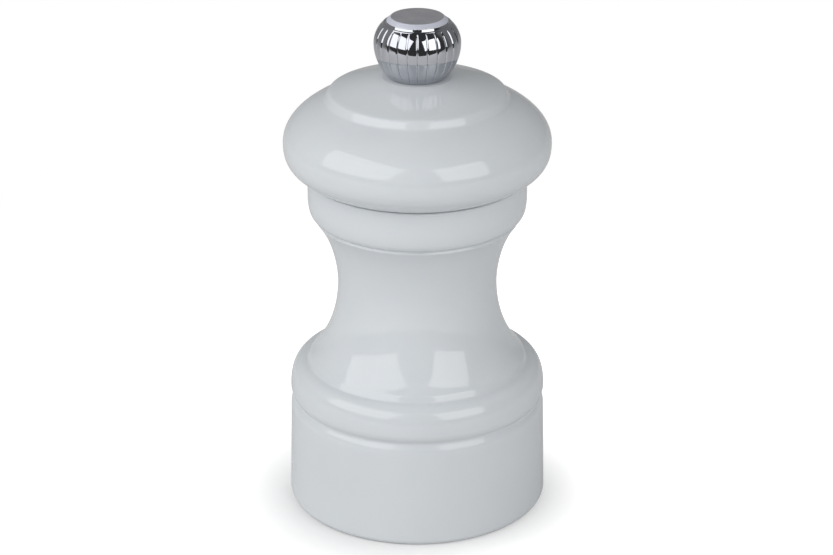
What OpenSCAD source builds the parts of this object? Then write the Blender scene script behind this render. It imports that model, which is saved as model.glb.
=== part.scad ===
// Pepper mill: turned wooden body and head, fluted metal knob, steel burr mechanism.
// Millimetres. +Z runs up the mill's axis, the origin is the centre of the face it stands on.
// Heights are stacked from the foot up, so a change of one length moves what stands on it.

/* [Base and shoulder] */
// Radius of the base band at its foot
base_r = 25.6; // [24.6:0.1:28]
// Narrowing of the base band towards its upper edge
band_taper = 0.4; // [0.1:0.1:0.8]
// Rounding of the foot's outer edge
foot_round = 1.3; // [0.5:0.1:2.5]
// Height of the base band, up to the groove above it
band_h = 21.5; // [19:0.1:26]
// Rounding of the band's upper edge
band_edge_round = 2.5; // [1.5:0.1:3.5]
// Depth of the groove over the band
groove_depth = 1.2; // [0.6:0.1:1.4]
// Width of the groove's floor
groove_w = 0.35; // [0.2:0.05:1]
// Rounding of the shoulder's lower edge, over the groove
shoulder_lip_round = 1.9; // [1.5:0.1:3]
// Height of the rounded shoulder over the groove
shoulder_h = 7.2; // [6:0.1:11]
// Radius at the shoulder's upper edge
shoulder_top_r = 22.85; // [21.5:0.05:23.5]
// Height of the small step over the shoulder
step_h = 0.95; // [0.6:0.05:2]
// Lean of the small step towards the axis
step_w = 0.1; // [0.05:0.05:1]
// Rounding of the small step's upper edge
step_round = 0.5; // [0.2:0.1:0.8]

/* [Waist and collar] */
// Height from the step to the waist
flare_h = 16; // [12:0.1:24]
// Radius of the waist
waist_r = 15.6; // [14.6:0.1:17.5]
// Height from the waist to the lip under the collar
neck_h = 13.4; // [11:0.1:22]
// Radius of the lip under the collar
lip_r = 19.9; // [19:0.05:20.3]
// Height of the fine groove between lip and collar
quirk_h = 0.6; // [0.4:0.1:1.2]
// Depth of that groove
quirk_depth = 0.3; // [0.1:0.05:0.5]
// Radius of the collar
collar_r = 21.3; // [20.8:0.1:23]
// Height of the collar
collar_h = 8.3; // [7:0.1:12]
// Height of the round that leads into the collar
collar_swell = 3.3; // [2:0.1:4]
// Rounding of the collar's upper edge
collar_edge_round = 0.4; // [0.2:0.1:0.8]

/* [Hollows of the body] */
// Depth of the recess in the underside
recess_depth = 8; // [7:0.1:10]
// Radius of the pepper hopper
hopper_r = 11; // [9.6:0.1:12]
// Height of the funnel between hopper and mechanism
funnel_h = 5; // [3:0.1:8]
// Chamfer of the hollows' edges
bore_chamfer = 0.5; // [0.2:0.1:1]

/* [Head] */
// Reach of the head's largest radius past the foot's
head_overhang = 0.3; // [0.1:0.1:1]
// Radius of the flat ring under the head
head_under_r = 20.6; // [19.5:0.1:21]
// Height of the largest radius over the underside
head_belly_h = 6.6; // [5.5:0.1:8]
// Height of the head's round, up to the disc on top
head_round_h = 15.2; // [13:0.1:18]
// Radius where the head's round meets the disc
disc_foot_r = 18; // [17.6:0.05:19.5]
// Radius of the disc at its upper edge
disc_r = 17.5; // [16:0.1:17.5]
// Height of the disc's edge
disc_edge_h = 1.6; // [0.8:0.1:2]
// Rounding of the disc's upper edge
disc_edge_round = 0.6; // [0.2:0.1:1]
// Rise of the disc's dome
dome_h = 2.95; // [1.5:0.05:4.5]
// Radius of the flat seat under the knob
seat_r = 6.8; // [6.2:0.1:8]
// Radius of the spigot that turns in the body
spigot_r = 16.4; // [15.5:0.1:17]
// Length of the spigot
spigot_len = 7; // [5:0.1:9]

/* [Knob] */
// Largest radius of the knob
knob_r = 8.33; // [7.6:0.01:9.5]
// Height of the knob
knob_h = 11.8; // [11.4:0.1:14]
// Height of the largest radius over the knob's foot
knob_belly_h = 6.6; // [6:0.1:7.2]
// Radius of the knob's foot
knob_foot_r = 5.9; // [5.6:0.1:6.1]
// Radius of the knob's rim around the top disc
rim_r = 6.6; // [6.4:0.05:7]
// Radius of the disc on the knob's top
top_disc_r = 6; // [5.6:0.1:6.1]
// Thickness of that disc
top_disc_t = 1.4; // [1.2:0.1:1.5]
// Height of that disc over the knob's rim
top_disc_rise = 0.9; // [0.7:0.1:1]
// Width of the bevel around that disc
top_disc_bevel_w = 0.7; // [0.3:0.1:1]
// Height of the bevel around that disc
top_disc_bevel_h = 0.5; // [0.2:0.1:0.6]
// Number of engraved flute lines
flutes = 26; // [20:1:36]
// Width of a flute line
flute_w = 0.25; // [0.15:0.05:0.4]
// Depth of a flute line
flute_depth = 0.18; // [0.1:0.02:0.3]
// Height of the flute lines over the knob's foot
flute_top_h = 10.7; // [9:0.1:11.2]
// Outer radius of the thread bush in the knob
bush_r = 3.6; // [3.2:0.1:3.8]
// Length of the thread bush
bush_len = 8; // [5:0.1:9]
// Depth of the bore in the knob
knob_bore_depth = 9.8; // [9.4:0.1:10.2]
// Outer radius of the glide washer
glide_r = 4.9; // [4.7:0.1:5.4]
// Inner radius of the glide washer
glide_bore_r = 4; // [3.9:0.1:4.3]
// Thickness of the glide washer
glide_t = 0.5; // [0.3:0.1:1]

/* [Shaft] */
// Side of the square shaft
shaft_side = 5; // [4.6:0.1:5.2]
// Diameter of the thread at the shaft's top
thread_d = 5; // [4:0.1:5]
// Diameter of the thread at the shaft's lower end
tail_thread_d = 4; // [3:0.1:4.4]
// Pitch of both threads
thread_pitch = 0.8; // [0.5:0.1:1]
// Depth of both threads
thread_depth = 0.4; // [0.2:0.05:0.5]
// Length of the thread at the top
thread_len = 16; // [12:0.1:20]
// Reach of the shaft into the knob
shaft_reach = 7.8; // [5:0.1:8.2]
// Length of the shaft past the nut
tail_len = 0.4; // [0.1:0.1:0.6]
// Outer radius of the retaining clip
clip_r = 4.6; // [4:0.1:5.4]
// Thickness of the retaining clip
clip_t = 0.8; // [0.5:0.1:1.2]
// Depth of the clip's groove in the shaft's corners
clip_groove = 0.9; // [0.5:0.05:0.95]
// Drop of the shaft that the clip allows from rest
shaft_drop = 1.5; // [1.4:0.1:1.8]

/* [Burrs] */
// Height of the stator ring
stator_h = 8.2; // [7.5:0.1:10]
// Inner radius of the stator ring at its lower edge
stator_low_r = 11.35; // [10.9:0.05:11.6]
// Inner radius of the stator ring at its upper edge
stator_top_r = 10.5; // [9.9:0.1:11.5]
// Height of the fine grinding zone
grind_h = 4.7; // [3.5:0.1:5.2]
// Radius lost by the grinding cone for each millimetre of height
burr_slope = 0.525; // [0.45:0.005:0.55]
// Gap between the burrs at rest
burr_gap = 0.7; // [0.6:0.05:1]
// Height of the rotor
rotor_h = 11.6; // [11:0.1:12.4]
// Reach of the rotor under the stator
rotor_drop = 2.4; // [1.6:0.1:2.6]
// Height of the rotor's lower edge band
rotor_land = 0.5; // [0.3:0.1:1]
// Radius of the rotor at its top
rotor_top_r = 5.4; // [5.2:0.1:6]
// Number of fine teeth on both burrs
fine_teeth = 30; // [24:1:36]
// Depth of the fine teeth
fine_tooth_depth = 0.6; // [0.3:0.1:0.8]
// Number of coarse feed notches in the stator
stator_notches = 9; // [6:1:12]
// Depth of the stator's feed notches
stator_notch_depth = 1.1; // [0.6:0.1:1.6]
// Number of slanted feed flutes on the rotor
rotor_flutes = 6; // [4:1:8]
// Radius of a feed flute on the rotor
rotor_flute_r = 1.5; // [1:0.1:1.8]
// Slant of the feed flutes, degrees
rotor_flute_slant = 24; // [10:1:30]
// Radius of the washers next to the rotor
washer_r = 5.2; // [4.8:0.1:5.3]
// Thickness of the washer under the rotor
washer_t = 0.8; // [0.4:0.1:1]
// Thickness of the spring's seat on the rotor
spring_seat_t = 0.5; // [0.3:0.1:0.8]
// Width of the nut across its flats
nut_w = 7; // [6:0.1:8]
// Height of the nut
nut_h = 2.4; // [1.8:0.1:2.5]
// Mean radius of the spring's coils
spring_r = 4.4; // [4.3:0.05:4.6]
// Diameter of the spring's wire
spring_wire = 0.7; // [0.5:0.05:0.8]
// Number of coils of the spring
spring_coils = 4; // [3:0.5:5]

/* [Holder and bridge] */
// Outer radius of the holder's wall
holder_r = 15.2; // [14.9:0.1:15.5]
// Thickness of the holder's sheet and of the bridge
sheet_t = 1.2; // [0.8:0.1:1.3]
// Radius of the holder's flange
flange_r = 20.5; // [19.8:0.1:21]
// Inner radius of the holder's upper lip
lip_in_r = 10.2; // [9.9:0.1:10.3]
// Width of the bridge bar
bridge_w = 7; // [5:0.1:9]
// Radius of the bridge's round middle
bridge_eye_r = 6.6; // [6.4:0.1:8]
// Height of the bridge over the holder
bridge_rise = 5.5; // [5:0.1:7]
// Reach of the bridge's legs from the axis
bridge_leg_x = 10.2; // [9.4:0.1:10.3]
// Reach of the bridge's feet from the axis
bridge_foot_x = 14.6; // [14:0.1:14.8]
// Bend radius of the bridge, on the inside
bridge_bend = 0.5; // [0.3:0.1:0.6]
// Radius of a rivet's shank
rivet_r = 0.8; // [0.6:0.1:1]
// Radius of a rivet's heads
rivet_head_r = 1.4; // [1.2:0.1:1.5]
// Height of a rivet's heads
rivet_head_h = 0.6; // [0.4:0.1:0.8]
// Outer radius of the guide bush
guide_r = 4.3; // [4:0.1:4.8]
// Radius of the guide bush's flange
guide_flange_r = 5.4; // [5.1:0.1:6]
// Thickness of the guide bush's flange
guide_flange_t = 0.8; // [0.5:0.1:1]
// Height of the guide bush over the bridge
guide_rise = 0.8; // [0.4:0.1:1.2]

/* [Screws and drive plate] */
// Number of screws that hold the holder
holder_screws = 3; // [2:1:4]
// Distance of these screws from the axis
holder_screw_x = 18.1; // [18:0.05:18.3]
// Radius of these screws' shanks
holder_screw_r = 1.2; // [0.9:0.1:1.3]
// Radius of these screws' heads
holder_screw_head_r = 2.3; // [1.9:0.1:2.3]
// Length of these screws in the wood
holder_screw_len = 9; // [6:0.1:10]
// Radius of the drive plate
plate_r = 10; // [9.4:0.1:11]
// Thickness of the drive plate
plate_t = 1; // [0.6:0.1:1.6]
// Number of screws in the drive plate
plate_screws = 3; // [2:1:4]
// Distance of these screws from the axis
plate_screw_x = 7.2; // [6.8:0.1:7.4]
// Radius of these screws' shanks
plate_screw_r = 0.9; // [0.7:0.1:1.1]
// Radius of these screws' heads
plate_screw_head_r = 1.8; // [1.5:0.1:1.9]
// Height of these screws' heads
plate_screw_head_h = 0.9; // [0.6:0.1:1.2]
// Length of these screws in the wood
plate_screw_len = 5.5; // [4:0.1:7]
// Width of the cross recess in all screws
cross_w = 0.5; // [0.3:0.1:0.6]

/* [Clearances] */
// Gap between head and body, where the head turns on the collar
head_gap = 0.1; // [0.05:0.01:0.2]
// Radial gap of the spigot in the body's mouth
spigot_gap = 0.1; // [0.05:0.01:0.2]
// Gap between the drive plate and the floor of the mouth
mouth_floor_gap = 0.3; // [0.1:0.05:0.6]
// Radial gap around what turns in a bearing
turn_gap = 0.05; // [0.02:0.01:0.1]
// Gap of the shaft in a square hole, on each side
slide_gap = 0.05; // [0.02:0.01:0.1]
// Gap left around what is pressed or glued in
press_gap = 0.02; // [0.01:0.01:0.04]
// Gap around the shaft in the head
head_bore_gap = 0.35; // [0.2:0.05:0.6]
// Gap around the holder in the wood
holder_gap = 0.15; // [0.05:0.05:0.3]
// Gap around the holder's flange in the recess
recess_gap = 0.45; // [0.2:0.05:0.6]
// Gap around the rotor in the holder's lower lip
rotor_gap = 0.5; // [0.3:0.05:0.7]

/* [Hidden] */
$fn = 96;

curve_steps = 12;      // points on a long curve
round_steps = 5;       // points on a small rounding
eps = 0.01;            // overshoot of a cut
clear_cut = 1;         // overshoot of a cut that has room beyond it
nut_sides = 6;
screw_tip_share = 0.25; // part of a wood screw's length that is its cone
screw_tip_r_share = 0.25; // radius of the cone's end, of the shank's radius
cross_reach = 0.6;     // reach of a cross recess, of the head's radius

// Handles of the outline's curves: how far a curve runs on past its end before it bends
shoulder_rise = 0.8;   // upward over the shoulder's foot, of its height there
shoulder_full = 1.1;   // outward at the shoulder's upper edge
shoulder_fall = 0.42;  // downward at the shoulder's upper edge
flare_sweep = 3.4;     // inward at the start of the flare
flare_rise = 0.15;     // upward at the start of the flare, of its height
waist_drop = 0.51;     // downward at the waist, of the flare's height
neck_sweep = 4.05;     // inward at the lip
collar_sweep = 0.7;    // outward at the foot of the collar
collar_full = 0.16;    // short of the collar's radius
head_full = 0.4;       // short of the head's radius
disc_foot_full = 1.2;  // outward at the foot of the disc
disc_foot_fall = 0.7;  // downward at the foot of the disc
dome_sweep = 3.4;      // along the dome, at both of its ends
dome_start = 0.33;     // upward at the dome's edge, of its rise
dome_end = 0.25;       // downward at the seat, of the dome's rise

// Bevel around the flat ring under the head
under_bevel_w = 0.8;
under_bevel_h = 0.2;

// Heights of the body's outline, from the foot up
groove_top_z = band_h + groove_w;
shoulder_top_z = groove_top_z + shoulder_h;
flare_z = shoulder_top_z + step_h;
waist_z = flare_z + flare_h;
lip_z = waist_z + neck_h;
collar_z = lip_z + quirk_h;
body_top_z = collar_z + collar_h;

// Heights of the head and knob
head_z = body_top_z + head_gap;
disc_foot_z = head_z + head_round_h;
disc_edge_z = disc_foot_z + disc_edge_h;
head_top_z = disc_edge_z + dome_h;
spigot_z = head_z - spigot_len;
plate_z = spigot_z - plate_t;
mouth_z = plate_z - mouth_floor_gap;
glide_z = head_top_z - glide_t;
knob_z = head_top_z + turn_gap;
knob_top_z = knob_z + knob_h;

// Heights of the mechanism
flange_z = recess_depth - sheet_t;
stator_z = recess_depth;
stator_top_z = stator_z + stator_h;
rivet_low_z = stator_top_z + press_gap;
lip_low_z = rivet_low_z + rivet_head_h;
holder_top_z = lip_low_z + sheet_t;
bridge_z = holder_top_z + bridge_rise;
bridge_top_z = bridge_z + sheet_t;
guide_z = bridge_z - guide_flange_t - turn_gap;
guide_top_z = bridge_top_z + guide_rise;
rotor_z = stator_z - rotor_drop;
rotor_top_z = rotor_z + rotor_h;
spring_seat_top_z = rotor_top_z + spring_seat_t;
nut_z = rotor_z - washer_t - nut_h;
clip_z = guide_top_z + shaft_drop;
bore_top_z = bridge_top_z + funnel_h / 2;
hopper_z = bore_top_z + funnel_h;

// Radii of head and base that follow from each other
band_r = base_r - band_taper;
head_r = base_r + head_overhang;

// Radii and lengths that follow from the fits
mouth_r = spigot_r + spigot_gap;
holder_in_r = holder_r - sheet_t;
mechanism_bore_r = holder_r + holder_gap;
recess_r = flange_r + recess_gap;
shaft_corner_r = shaft_side / sqrt(2);
square_hole = shaft_side + 2 * slide_gap;
head_bore_r = shaft_corner_r + head_bore_gap;
shaft_top_z = knob_z + shaft_reach;
shaft_tail_z = nut_z - tail_len;
rotor_skirt_r = grind_r(rotor_z + rotor_land) - burr_gap;
rotor_neck_z = stator_z + grind_h;
lower_lip_r = rotor_skirt_r + rotor_gap;
rivet_x = bridge_leg_x + bridge_bend + rivet_head_r + press_gap;

// Radius of the stator's grinding cone at height z
function grind_r(z) = stator_low_r - burr_slope * (z - stator_z);

// Points of a cubic curve from p0 to p3, without its first point
function curve(p0, p1, p2, p3, steps = curve_steps) =
    [for (i = [1 : steps]) let (t = i / steps, u = 1 - t)
        u * u * u * p0 + 3 * u * u * t * p1 + 3 * u * t * t * p2 + t * t * t * p3];

// Points of an arc of radius r around c, from angle a to angle b
function arc(c, r, a, b, steps = round_steps) = [for (i = [0 : steps]) let (t = a + (b - a) * i / steps)
    c + r * [cos(t), sin(t)]];

// Eased corner at b between the lines to a and to c, begun at distance d from it
function eased(a, b, c, d) = let (p = b + d * (a - b) / norm(a - b), q = b + d * (c - b) / norm(c - b))
    concat([p], curve(p, (p + 2 * b) / 3, (q + 2 * b) / 3, q, round_steps));

// One V-shaped thread, as the zigzag of its outline from height z up
function thread_outline(r, z, len) = let (turns = floor(len / thread_pitch)) [for (i = [0 : turns - 1])
    for (p = [[r, 0.1], [r, 0.3], [r - thread_depth, 0.6]]) [p[0], z + (i + p[1]) * thread_pitch]];

// ---------------------------------------------------------------- body and head

// Outline of the body's outside, from the foot's inner edge up to its top face
function body_outline() = let (
    band_edge_a = acos(1 - groove_depth / band_edge_round),
    lip_a = acos(1 - groove_depth / shoulder_lip_round),
    shoulder_foot_z = groove_top_z + shoulder_lip_round * sin(lip_a),
    shoulder_top = [shoulder_top_r, shoulder_top_z],
    nose = [shoulder_top_r - step_w, flare_z],
    flare_handle = nose + [-flare_sweep, flare_h * flare_rise],
    nose_points = eased(shoulder_top, nose, flare_handle, step_round))
    concat(
        arc([base_r - foot_round, foot_round], foot_round, -90, 0),
        arc([band_r - band_edge_round, band_h - band_edge_round * sin(band_edge_a)],
            band_edge_round, 0, band_edge_a),
        arc([band_r - shoulder_lip_round, shoulder_foot_z], shoulder_lip_round, -lip_a, 0),
        curve([band_r, shoulder_foot_z],
            [band_r, shoulder_foot_z + (shoulder_top_z - shoulder_foot_z) * shoulder_rise],
            shoulder_top + [shoulder_full, -shoulder_fall], shoulder_top),
        nose_points,
        curve(nose_points[len(nose_points) - 1], flare_handle,
            [waist_r, waist_z - flare_h * waist_drop], [waist_r, waist_z]),
        curve([waist_r, waist_z], [waist_r, waist_z + neck_h * 0.08],
            [lip_r - neck_sweep, lip_z - neck_h * 0.39], [lip_r, lip_z]),
        [[lip_r - quirk_depth, collar_z - quirk_h / 3]],
        curve([lip_r - quirk_depth, collar_z - quirk_h / 3],
            [lip_r + collar_sweep, collar_z + collar_swell * 0.14],
            [collar_r - collar_full, collar_z + collar_swell * 0.14],
            [collar_r, collar_z + collar_swell], round_steps + 2),
        arc([collar_r - collar_edge_round, body_top_z - collar_edge_round], collar_edge_round, 0, 90));

module mill_body() {
    color("gainsboro") difference() {
        rotate_extrude() polygon(concat(body_outline(), [[mouth_r + bore_chamfer, body_top_z],
            [mouth_r, body_top_z - bore_chamfer], [mouth_r, mouth_z], [hopper_r, mouth_z],
            [hopper_r, hopper_z], [mechanism_bore_r, bore_top_z], [mechanism_bore_r, recess_depth],
            [recess_r, recess_depth], [recess_r, bore_chamfer], [recess_r + bore_chamfer, 0]]));
        around_axis(holder_screws, holder_screw_x)
            translate([0, 0, recess_depth - eps]) cylinder(r = holder_screw_r + press_gap,
                h = holder_screw_len + press_gap + eps);
    }
}

// Outline of the head's outside, from the flat ring under it up to the seat of the knob
function head_outline() = let (
    belly_z = head_z + head_belly_h,
    bevel_top = [head_under_r + under_bevel_w, head_z + under_bevel_h],
    disc_foot = [disc_foot_r, disc_foot_z],
    dome_handle = [disc_r - dome_sweep, disc_edge_z + dome_h * dome_start],
    edge_points = eased(disc_foot, [disc_r, disc_edge_z], dome_handle, disc_edge_round))
    concat(
        [[head_under_r, head_z], bevel_top],
        curve(bevel_top, [head_r - head_full, head_z + head_belly_h * 0.315],
            [head_r, belly_z - head_belly_h * 0.38], [head_r, belly_z]),
        curve([head_r, belly_z], [head_r, belly_z + (head_round_h - head_belly_h) * 0.6],
            disc_foot + [disc_foot_full, -disc_foot_fall], disc_foot),
        edge_points,
        curve(edge_points[len(edge_points) - 1], dome_handle,
            [seat_r + dome_sweep, head_top_z - dome_h * dome_end], [seat_r, head_top_z]));

module mill_head() {
    color("gainsboro") difference() {
        rotate_extrude() polygon(concat(head_outline(), [[glide_r + turn_gap, head_top_z],
            [glide_r + turn_gap, glide_z], [head_bore_r, glide_z], [head_bore_r, spigot_z],
            [spigot_r - bore_chamfer, spigot_z], [spigot_r, spigot_z + bore_chamfer],
            [spigot_r, head_z]]));
        around_axis(plate_screws, plate_screw_x)
            translate([0, 0, spigot_z - eps]) cylinder(r = plate_screw_r + press_gap,
                h = plate_screw_len + press_gap + eps);
    }
}

// ---------------------------------------------------------------- knob

// Centre distance and radius of the arc that leaves a largest radius r upright and meets [x, dz]
function belly_arc(r, x, dz) = let (c = (r * r - x * x - dz * dz) / (2 * (r - x))) [c, r - c];

knob_belly_z = knob_z + knob_belly_h;
rim_z = knob_top_z - top_disc_rise;
disc_seat_z = knob_top_z - top_disc_t;
low_arc = belly_arc(knob_r, knob_foot_r, knob_belly_h);
top_arc = belly_arc(knob_r, rim_r, rim_z - knob_belly_z);

// Half section of the knob, drawn in by inset
module knob_section(inset = 0) {
    intersection() {
        translate([low_arc[0], knob_belly_z]) circle(r = low_arc[1] - inset);
        translate([0, knob_z]) square([knob_r + eps, knob_belly_h]);
    }
    intersection() {
        translate([top_arc[0], knob_belly_z]) circle(r = top_arc[1] - inset);
        translate([0, knob_belly_z]) square([knob_r + eps, rim_z - knob_belly_z]);
    }
}

module grind_knob() {
    color("silver") difference() {
        rotate_extrude() difference() {
            knob_section();
            translate([0, knob_z - eps]) square([bush_r + press_gap, bush_len + eps]);
            translate([0, knob_z]) square([thread_d / 2 + turn_gap, knob_bore_depth]);
            translate([0, disc_seat_z]) square([top_disc_r + press_gap, top_disc_t]);
        }
        for (i = [0 : flutes - 1]) rotate((i + 0.5) * 360 / flutes)
            rotate([90, 0, 0]) linear_extrude(flute_w, center = true) difference() {
                translate([knob_foot_r / 2, knob_z + flute_w]) square([knob_r, flute_top_h - flute_w]);
                knob_section(flute_depth);
            }
    }
}

module knob_top_disc() {
    color("lightgray") rotate_extrude() polygon([[0, disc_seat_z], [top_disc_r, disc_seat_z],
        [top_disc_r, knob_top_z - top_disc_bevel_h], [top_disc_r - top_disc_bevel_w, knob_top_z],
        [0, knob_top_z]]);
}

module knob_thread_bush() {
    color("goldenrod") translate([0, 0, knob_z]) difference() {
        cylinder(r = bush_r, h = bush_len);
        translate([0, 0, -eps]) cylinder(r = thread_d / 2 + turn_gap, h = bush_len + 2 * eps);
    }
}

module knob_glide_washer() {
    color("ivory") translate([0, 0, glide_z]) difference() {
        cylinder(r = glide_r, h = glide_t);
        translate([0, 0, -eps]) cylinder(r = glide_bore_r, h = glide_t + 2 * eps);
    }
}

// ---------------------------------------------------------------- drive

module drive_plate() {
    color("lightsteelblue") translate([0, 0, plate_z]) difference() {
        cylinder(r = plate_r, h = plate_t);
        square_bore(plate_t);
        around_axis(plate_screws, plate_screw_x)
            translate([0, 0, -eps]) cylinder(r = plate_screw_r + press_gap, h = plate_t + 2 * eps);
    }
}

module drive_plate_screws() {
    color("silver") around_axis(plate_screws, plate_screw_x) translate([0, 0, plate_z]) {
        difference() {
            translate([0, 0, -plate_screw_head_h]) cylinder(r = plate_screw_head_r, h = plate_screw_head_h);
            cross_recess(-plate_screw_head_h, plate_screw_head_r);
        }
        wood_screw(plate_screw_r, plate_t + plate_screw_len, plate_screw_len * screw_tip_share);
    }
}

module drive_shaft() {
    square_top_z = shaft_top_z - thread_len;
    groove_r = shaft_corner_r - clip_groove;
    color("lightsteelblue") {
        difference() {
            translate([-shaft_side / 2, -shaft_side / 2, rotor_z])
                cube([shaft_side, shaft_side, square_top_z - rotor_z]);
            translate([0, 0, clip_z - turn_gap]) difference() {
                cylinder(r = shaft_corner_r + clear_cut, h = clip_t + 2 * turn_gap);
                translate([0, 0, -eps]) cylinder(r = groove_r, h = clip_t + 2 * turn_gap + 2 * eps);
            }
        }
        rotate_extrude() polygon(concat([[0, square_top_z], [thread_d / 2 - thread_depth, square_top_z]],
            thread_outline(thread_d / 2, square_top_z, thread_len - thread_pitch),
            [[thread_d / 2 - thread_depth, shaft_top_z], [0, shaft_top_z]]));
        rotate_extrude() polygon(concat(
            [[0, shaft_tail_z], [tail_thread_d / 2 - thread_depth, shaft_tail_z]],
            thread_outline(tail_thread_d / 2, shaft_tail_z, rotor_z - shaft_tail_z),
            [[tail_thread_d / 2 - thread_depth, rotor_z], [0, rotor_z]]));
    }
}

// The clip is open on one side, so that it slips onto its groove
module shaft_stop_clip() {
    clip_bore_r = shaft_corner_r - clip_groove + turn_gap;
    clip_mouth = clip_bore_r * 1.6;
    color("dimgray") translate([0, 0, clip_z]) difference() {
        cylinder(r = clip_r, h = clip_t);
        translate([0, 0, -eps]) cylinder(r = clip_bore_r, h = clip_t + 2 * eps);
        translate([0, -clip_mouth / 2, -eps]) cube([clip_r + clear_cut, clip_mouth, clip_t + 2 * eps]);
    }
}

module guide_bush() {
    color("goldenrod") translate([0, 0, guide_z]) difference() {
        union() {
            cylinder(r = guide_flange_r, h = guide_flange_t);
            cylinder(r = guide_r, h = guide_top_z - guide_z);
        }
        square_bore(guide_top_z - guide_z);
    }
}

// ---------------------------------------------------------------- burrs

module stator_ring() {
    throat_z = rotor_neck_z;
    throat_r = grind_r(throat_z);
    cone_a = atan(burr_slope);
    cone_len = grind_h / cos(cone_a);
    feed_a = atan((stator_top_r - throat_r) / (stator_top_z - throat_z));
    color("gray") difference() {
        rotate_extrude() polygon([[stator_low_r, stator_z], [holder_in_r - press_gap, stator_z],
            [holder_in_r - press_gap, stator_top_z], [stator_top_r, stator_top_z], [throat_r, throat_z]]);
        for (i = [0 : fine_teeth - 1]) rotate((i + 0.5) * 360 / fine_teeth)
            translate([stator_low_r, 0, stator_z]) rotate([0, -cone_a, 0])
                translate([0, 0, -clear_cut])
                    tooth_cut(fine_tooth_depth, cone_len + clear_cut);
        for (i = [0 : stator_notches - 1]) rotate((i + 0.5) * 360 / stator_notches)
            translate([throat_r, 0, throat_z]) rotate([0, feed_a, 0])
                tooth_cut(stator_notch_depth, stator_h);
    }
}

module rotor_burr() {
    neck_r = grind_r(rotor_neck_z) - burr_gap;
    cone_a = atan(burr_slope);
    cone_len = (rotor_neck_z - rotor_z) / cos(cone_a);
    flute_z = (rotor_neck_z + rotor_top_z) / 2;
    flute_x = (neck_r + rotor_top_r) / 2 + rotor_flute_r * 0.55;
    upper_a = atan((neck_r - rotor_top_r) / (rotor_top_z - rotor_neck_z));
    color("gray") difference() {
        rotate_extrude() polygon([[0, rotor_z], [rotor_skirt_r, rotor_z],
            [rotor_skirt_r, rotor_z + rotor_land], [neck_r, rotor_neck_z],
            [rotor_top_r, rotor_top_z], [0, rotor_top_z]]);
        for (i = [0 : fine_teeth - 1]) rotate(i * 360 / fine_teeth)
            translate([rotor_skirt_r + burr_slope * rotor_land, 0, rotor_z]) rotate([0, -cone_a, 0])
                mirror([1, 0, 0]) translate([0, 0, -clear_cut])
                    tooth_cut(fine_tooth_depth, cone_len + clear_cut);
        for (i = [0 : rotor_flutes - 1]) rotate(i * 360 / rotor_flutes)
            translate([flute_x, 0, flute_z]) rotate([rotor_flute_slant, -upper_a, 0])
                cylinder(r = rotor_flute_r, h = rotor_h, center = true);
        translate([0, 0, rotor_z]) square_bore(rotor_h);
    }
}

module rotor_washer() {
    color("silver") translate([0, 0, rotor_z - washer_t]) difference() {
        cylinder(r = washer_r, h = washer_t);
        translate([0, 0, -eps]) cylinder(r = tail_thread_d / 2 + turn_gap, h = washer_t + 2 * eps);
    }
}

module rotor_nut() {
    color("silver") translate([0, 0, nut_z]) difference() {
        cylinder(r = nut_w / 2 / cos(180 / nut_sides), h = nut_h, $fn = nut_sides);
        translate([0, 0, -eps]) cylinder(r = tail_thread_d / 2 + press_gap, h = nut_h + 2 * eps);
    }
}

module spring_seat() {
    color("silver") translate([0, 0, rotor_top_z]) difference() {
        cylinder(r = washer_r, h = spring_seat_t);
        translate([0, 0, -eps]) cylinder(r = shaft_corner_r + turn_gap, h = spring_seat_t + 2 * eps);
    }
}

// A helix of round wire between the spring's seat and the guide bush
module rotor_spring() {
    sides = 8;
    steps = 24;
    rings = spring_coils * steps;
    low_z = spring_seat_top_z + spring_wire / 2 + press_gap;
    rise = guide_z - spring_seat_top_z - spring_wire - 2 * press_gap;
    points = [for (i = [0 : rings]) for (j = [0 : sides - 1]) let (
        a = 360 * i / steps, b = 360 * j / sides, r = spring_r + spring_wire / 2 * cos(b))
        [r * cos(a), r * sin(a), low_z + rise * i / rings + spring_wire / 2 * sin(b)]];
    sides_faces = [for (i = [0 : rings - 1]) for (j = [0 : sides - 1]) let (k = (j + 1) % sides)
        for (f = [[i * sides + j, (i + 1) * sides + j, (i + 1) * sides + k],
                [i * sides + j, (i + 1) * sides + k, i * sides + k]]) f];
    color("silver") polyhedron(points, concat(sides_faces,
        [[for (j = [0 : sides - 1]) j], [for (j = [0 : sides - 1]) rings * sides + sides - 1 - j]]));
}

// ---------------------------------------------------------------- holder and bridge

module burr_holder() {
    color("lightsteelblue") difference() {
        rotate_extrude() polygon([[lower_lip_r, flange_z], [flange_r, flange_z], [flange_r, recess_depth],
            [holder_r, recess_depth], [holder_r, holder_top_z], [lip_in_r, holder_top_z],
            [lip_in_r, lip_low_z], [holder_in_r, lip_low_z], [holder_in_r, stator_z],
            [lower_lip_r, stator_z]]);
        around_axis(holder_screws, holder_screw_x) countersink(press_gap);
        for (s = [-1, 1]) translate([s * rivet_x, 0, lip_low_z - eps])
            cylinder(r = rivet_r + press_gap, h = sheet_t + 2 * eps);
    }
}

// Centre line of the bridge's strip on one side, as the corners of its bends
function bridge_side(s) = let (m = sheet_t / 2, b = bridge_bend + m)
    let (top = bridge_z + m, foot = holder_top_z + m, leg = bridge_leg_x - m)
    [for (p = concat([[bridge_foot_x, foot]], arc([leg + b, foot + b], b, 270, 180),
        arc([leg - b, top - b], b, 0, 90))) [s * p[0], p[1]]];

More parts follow.
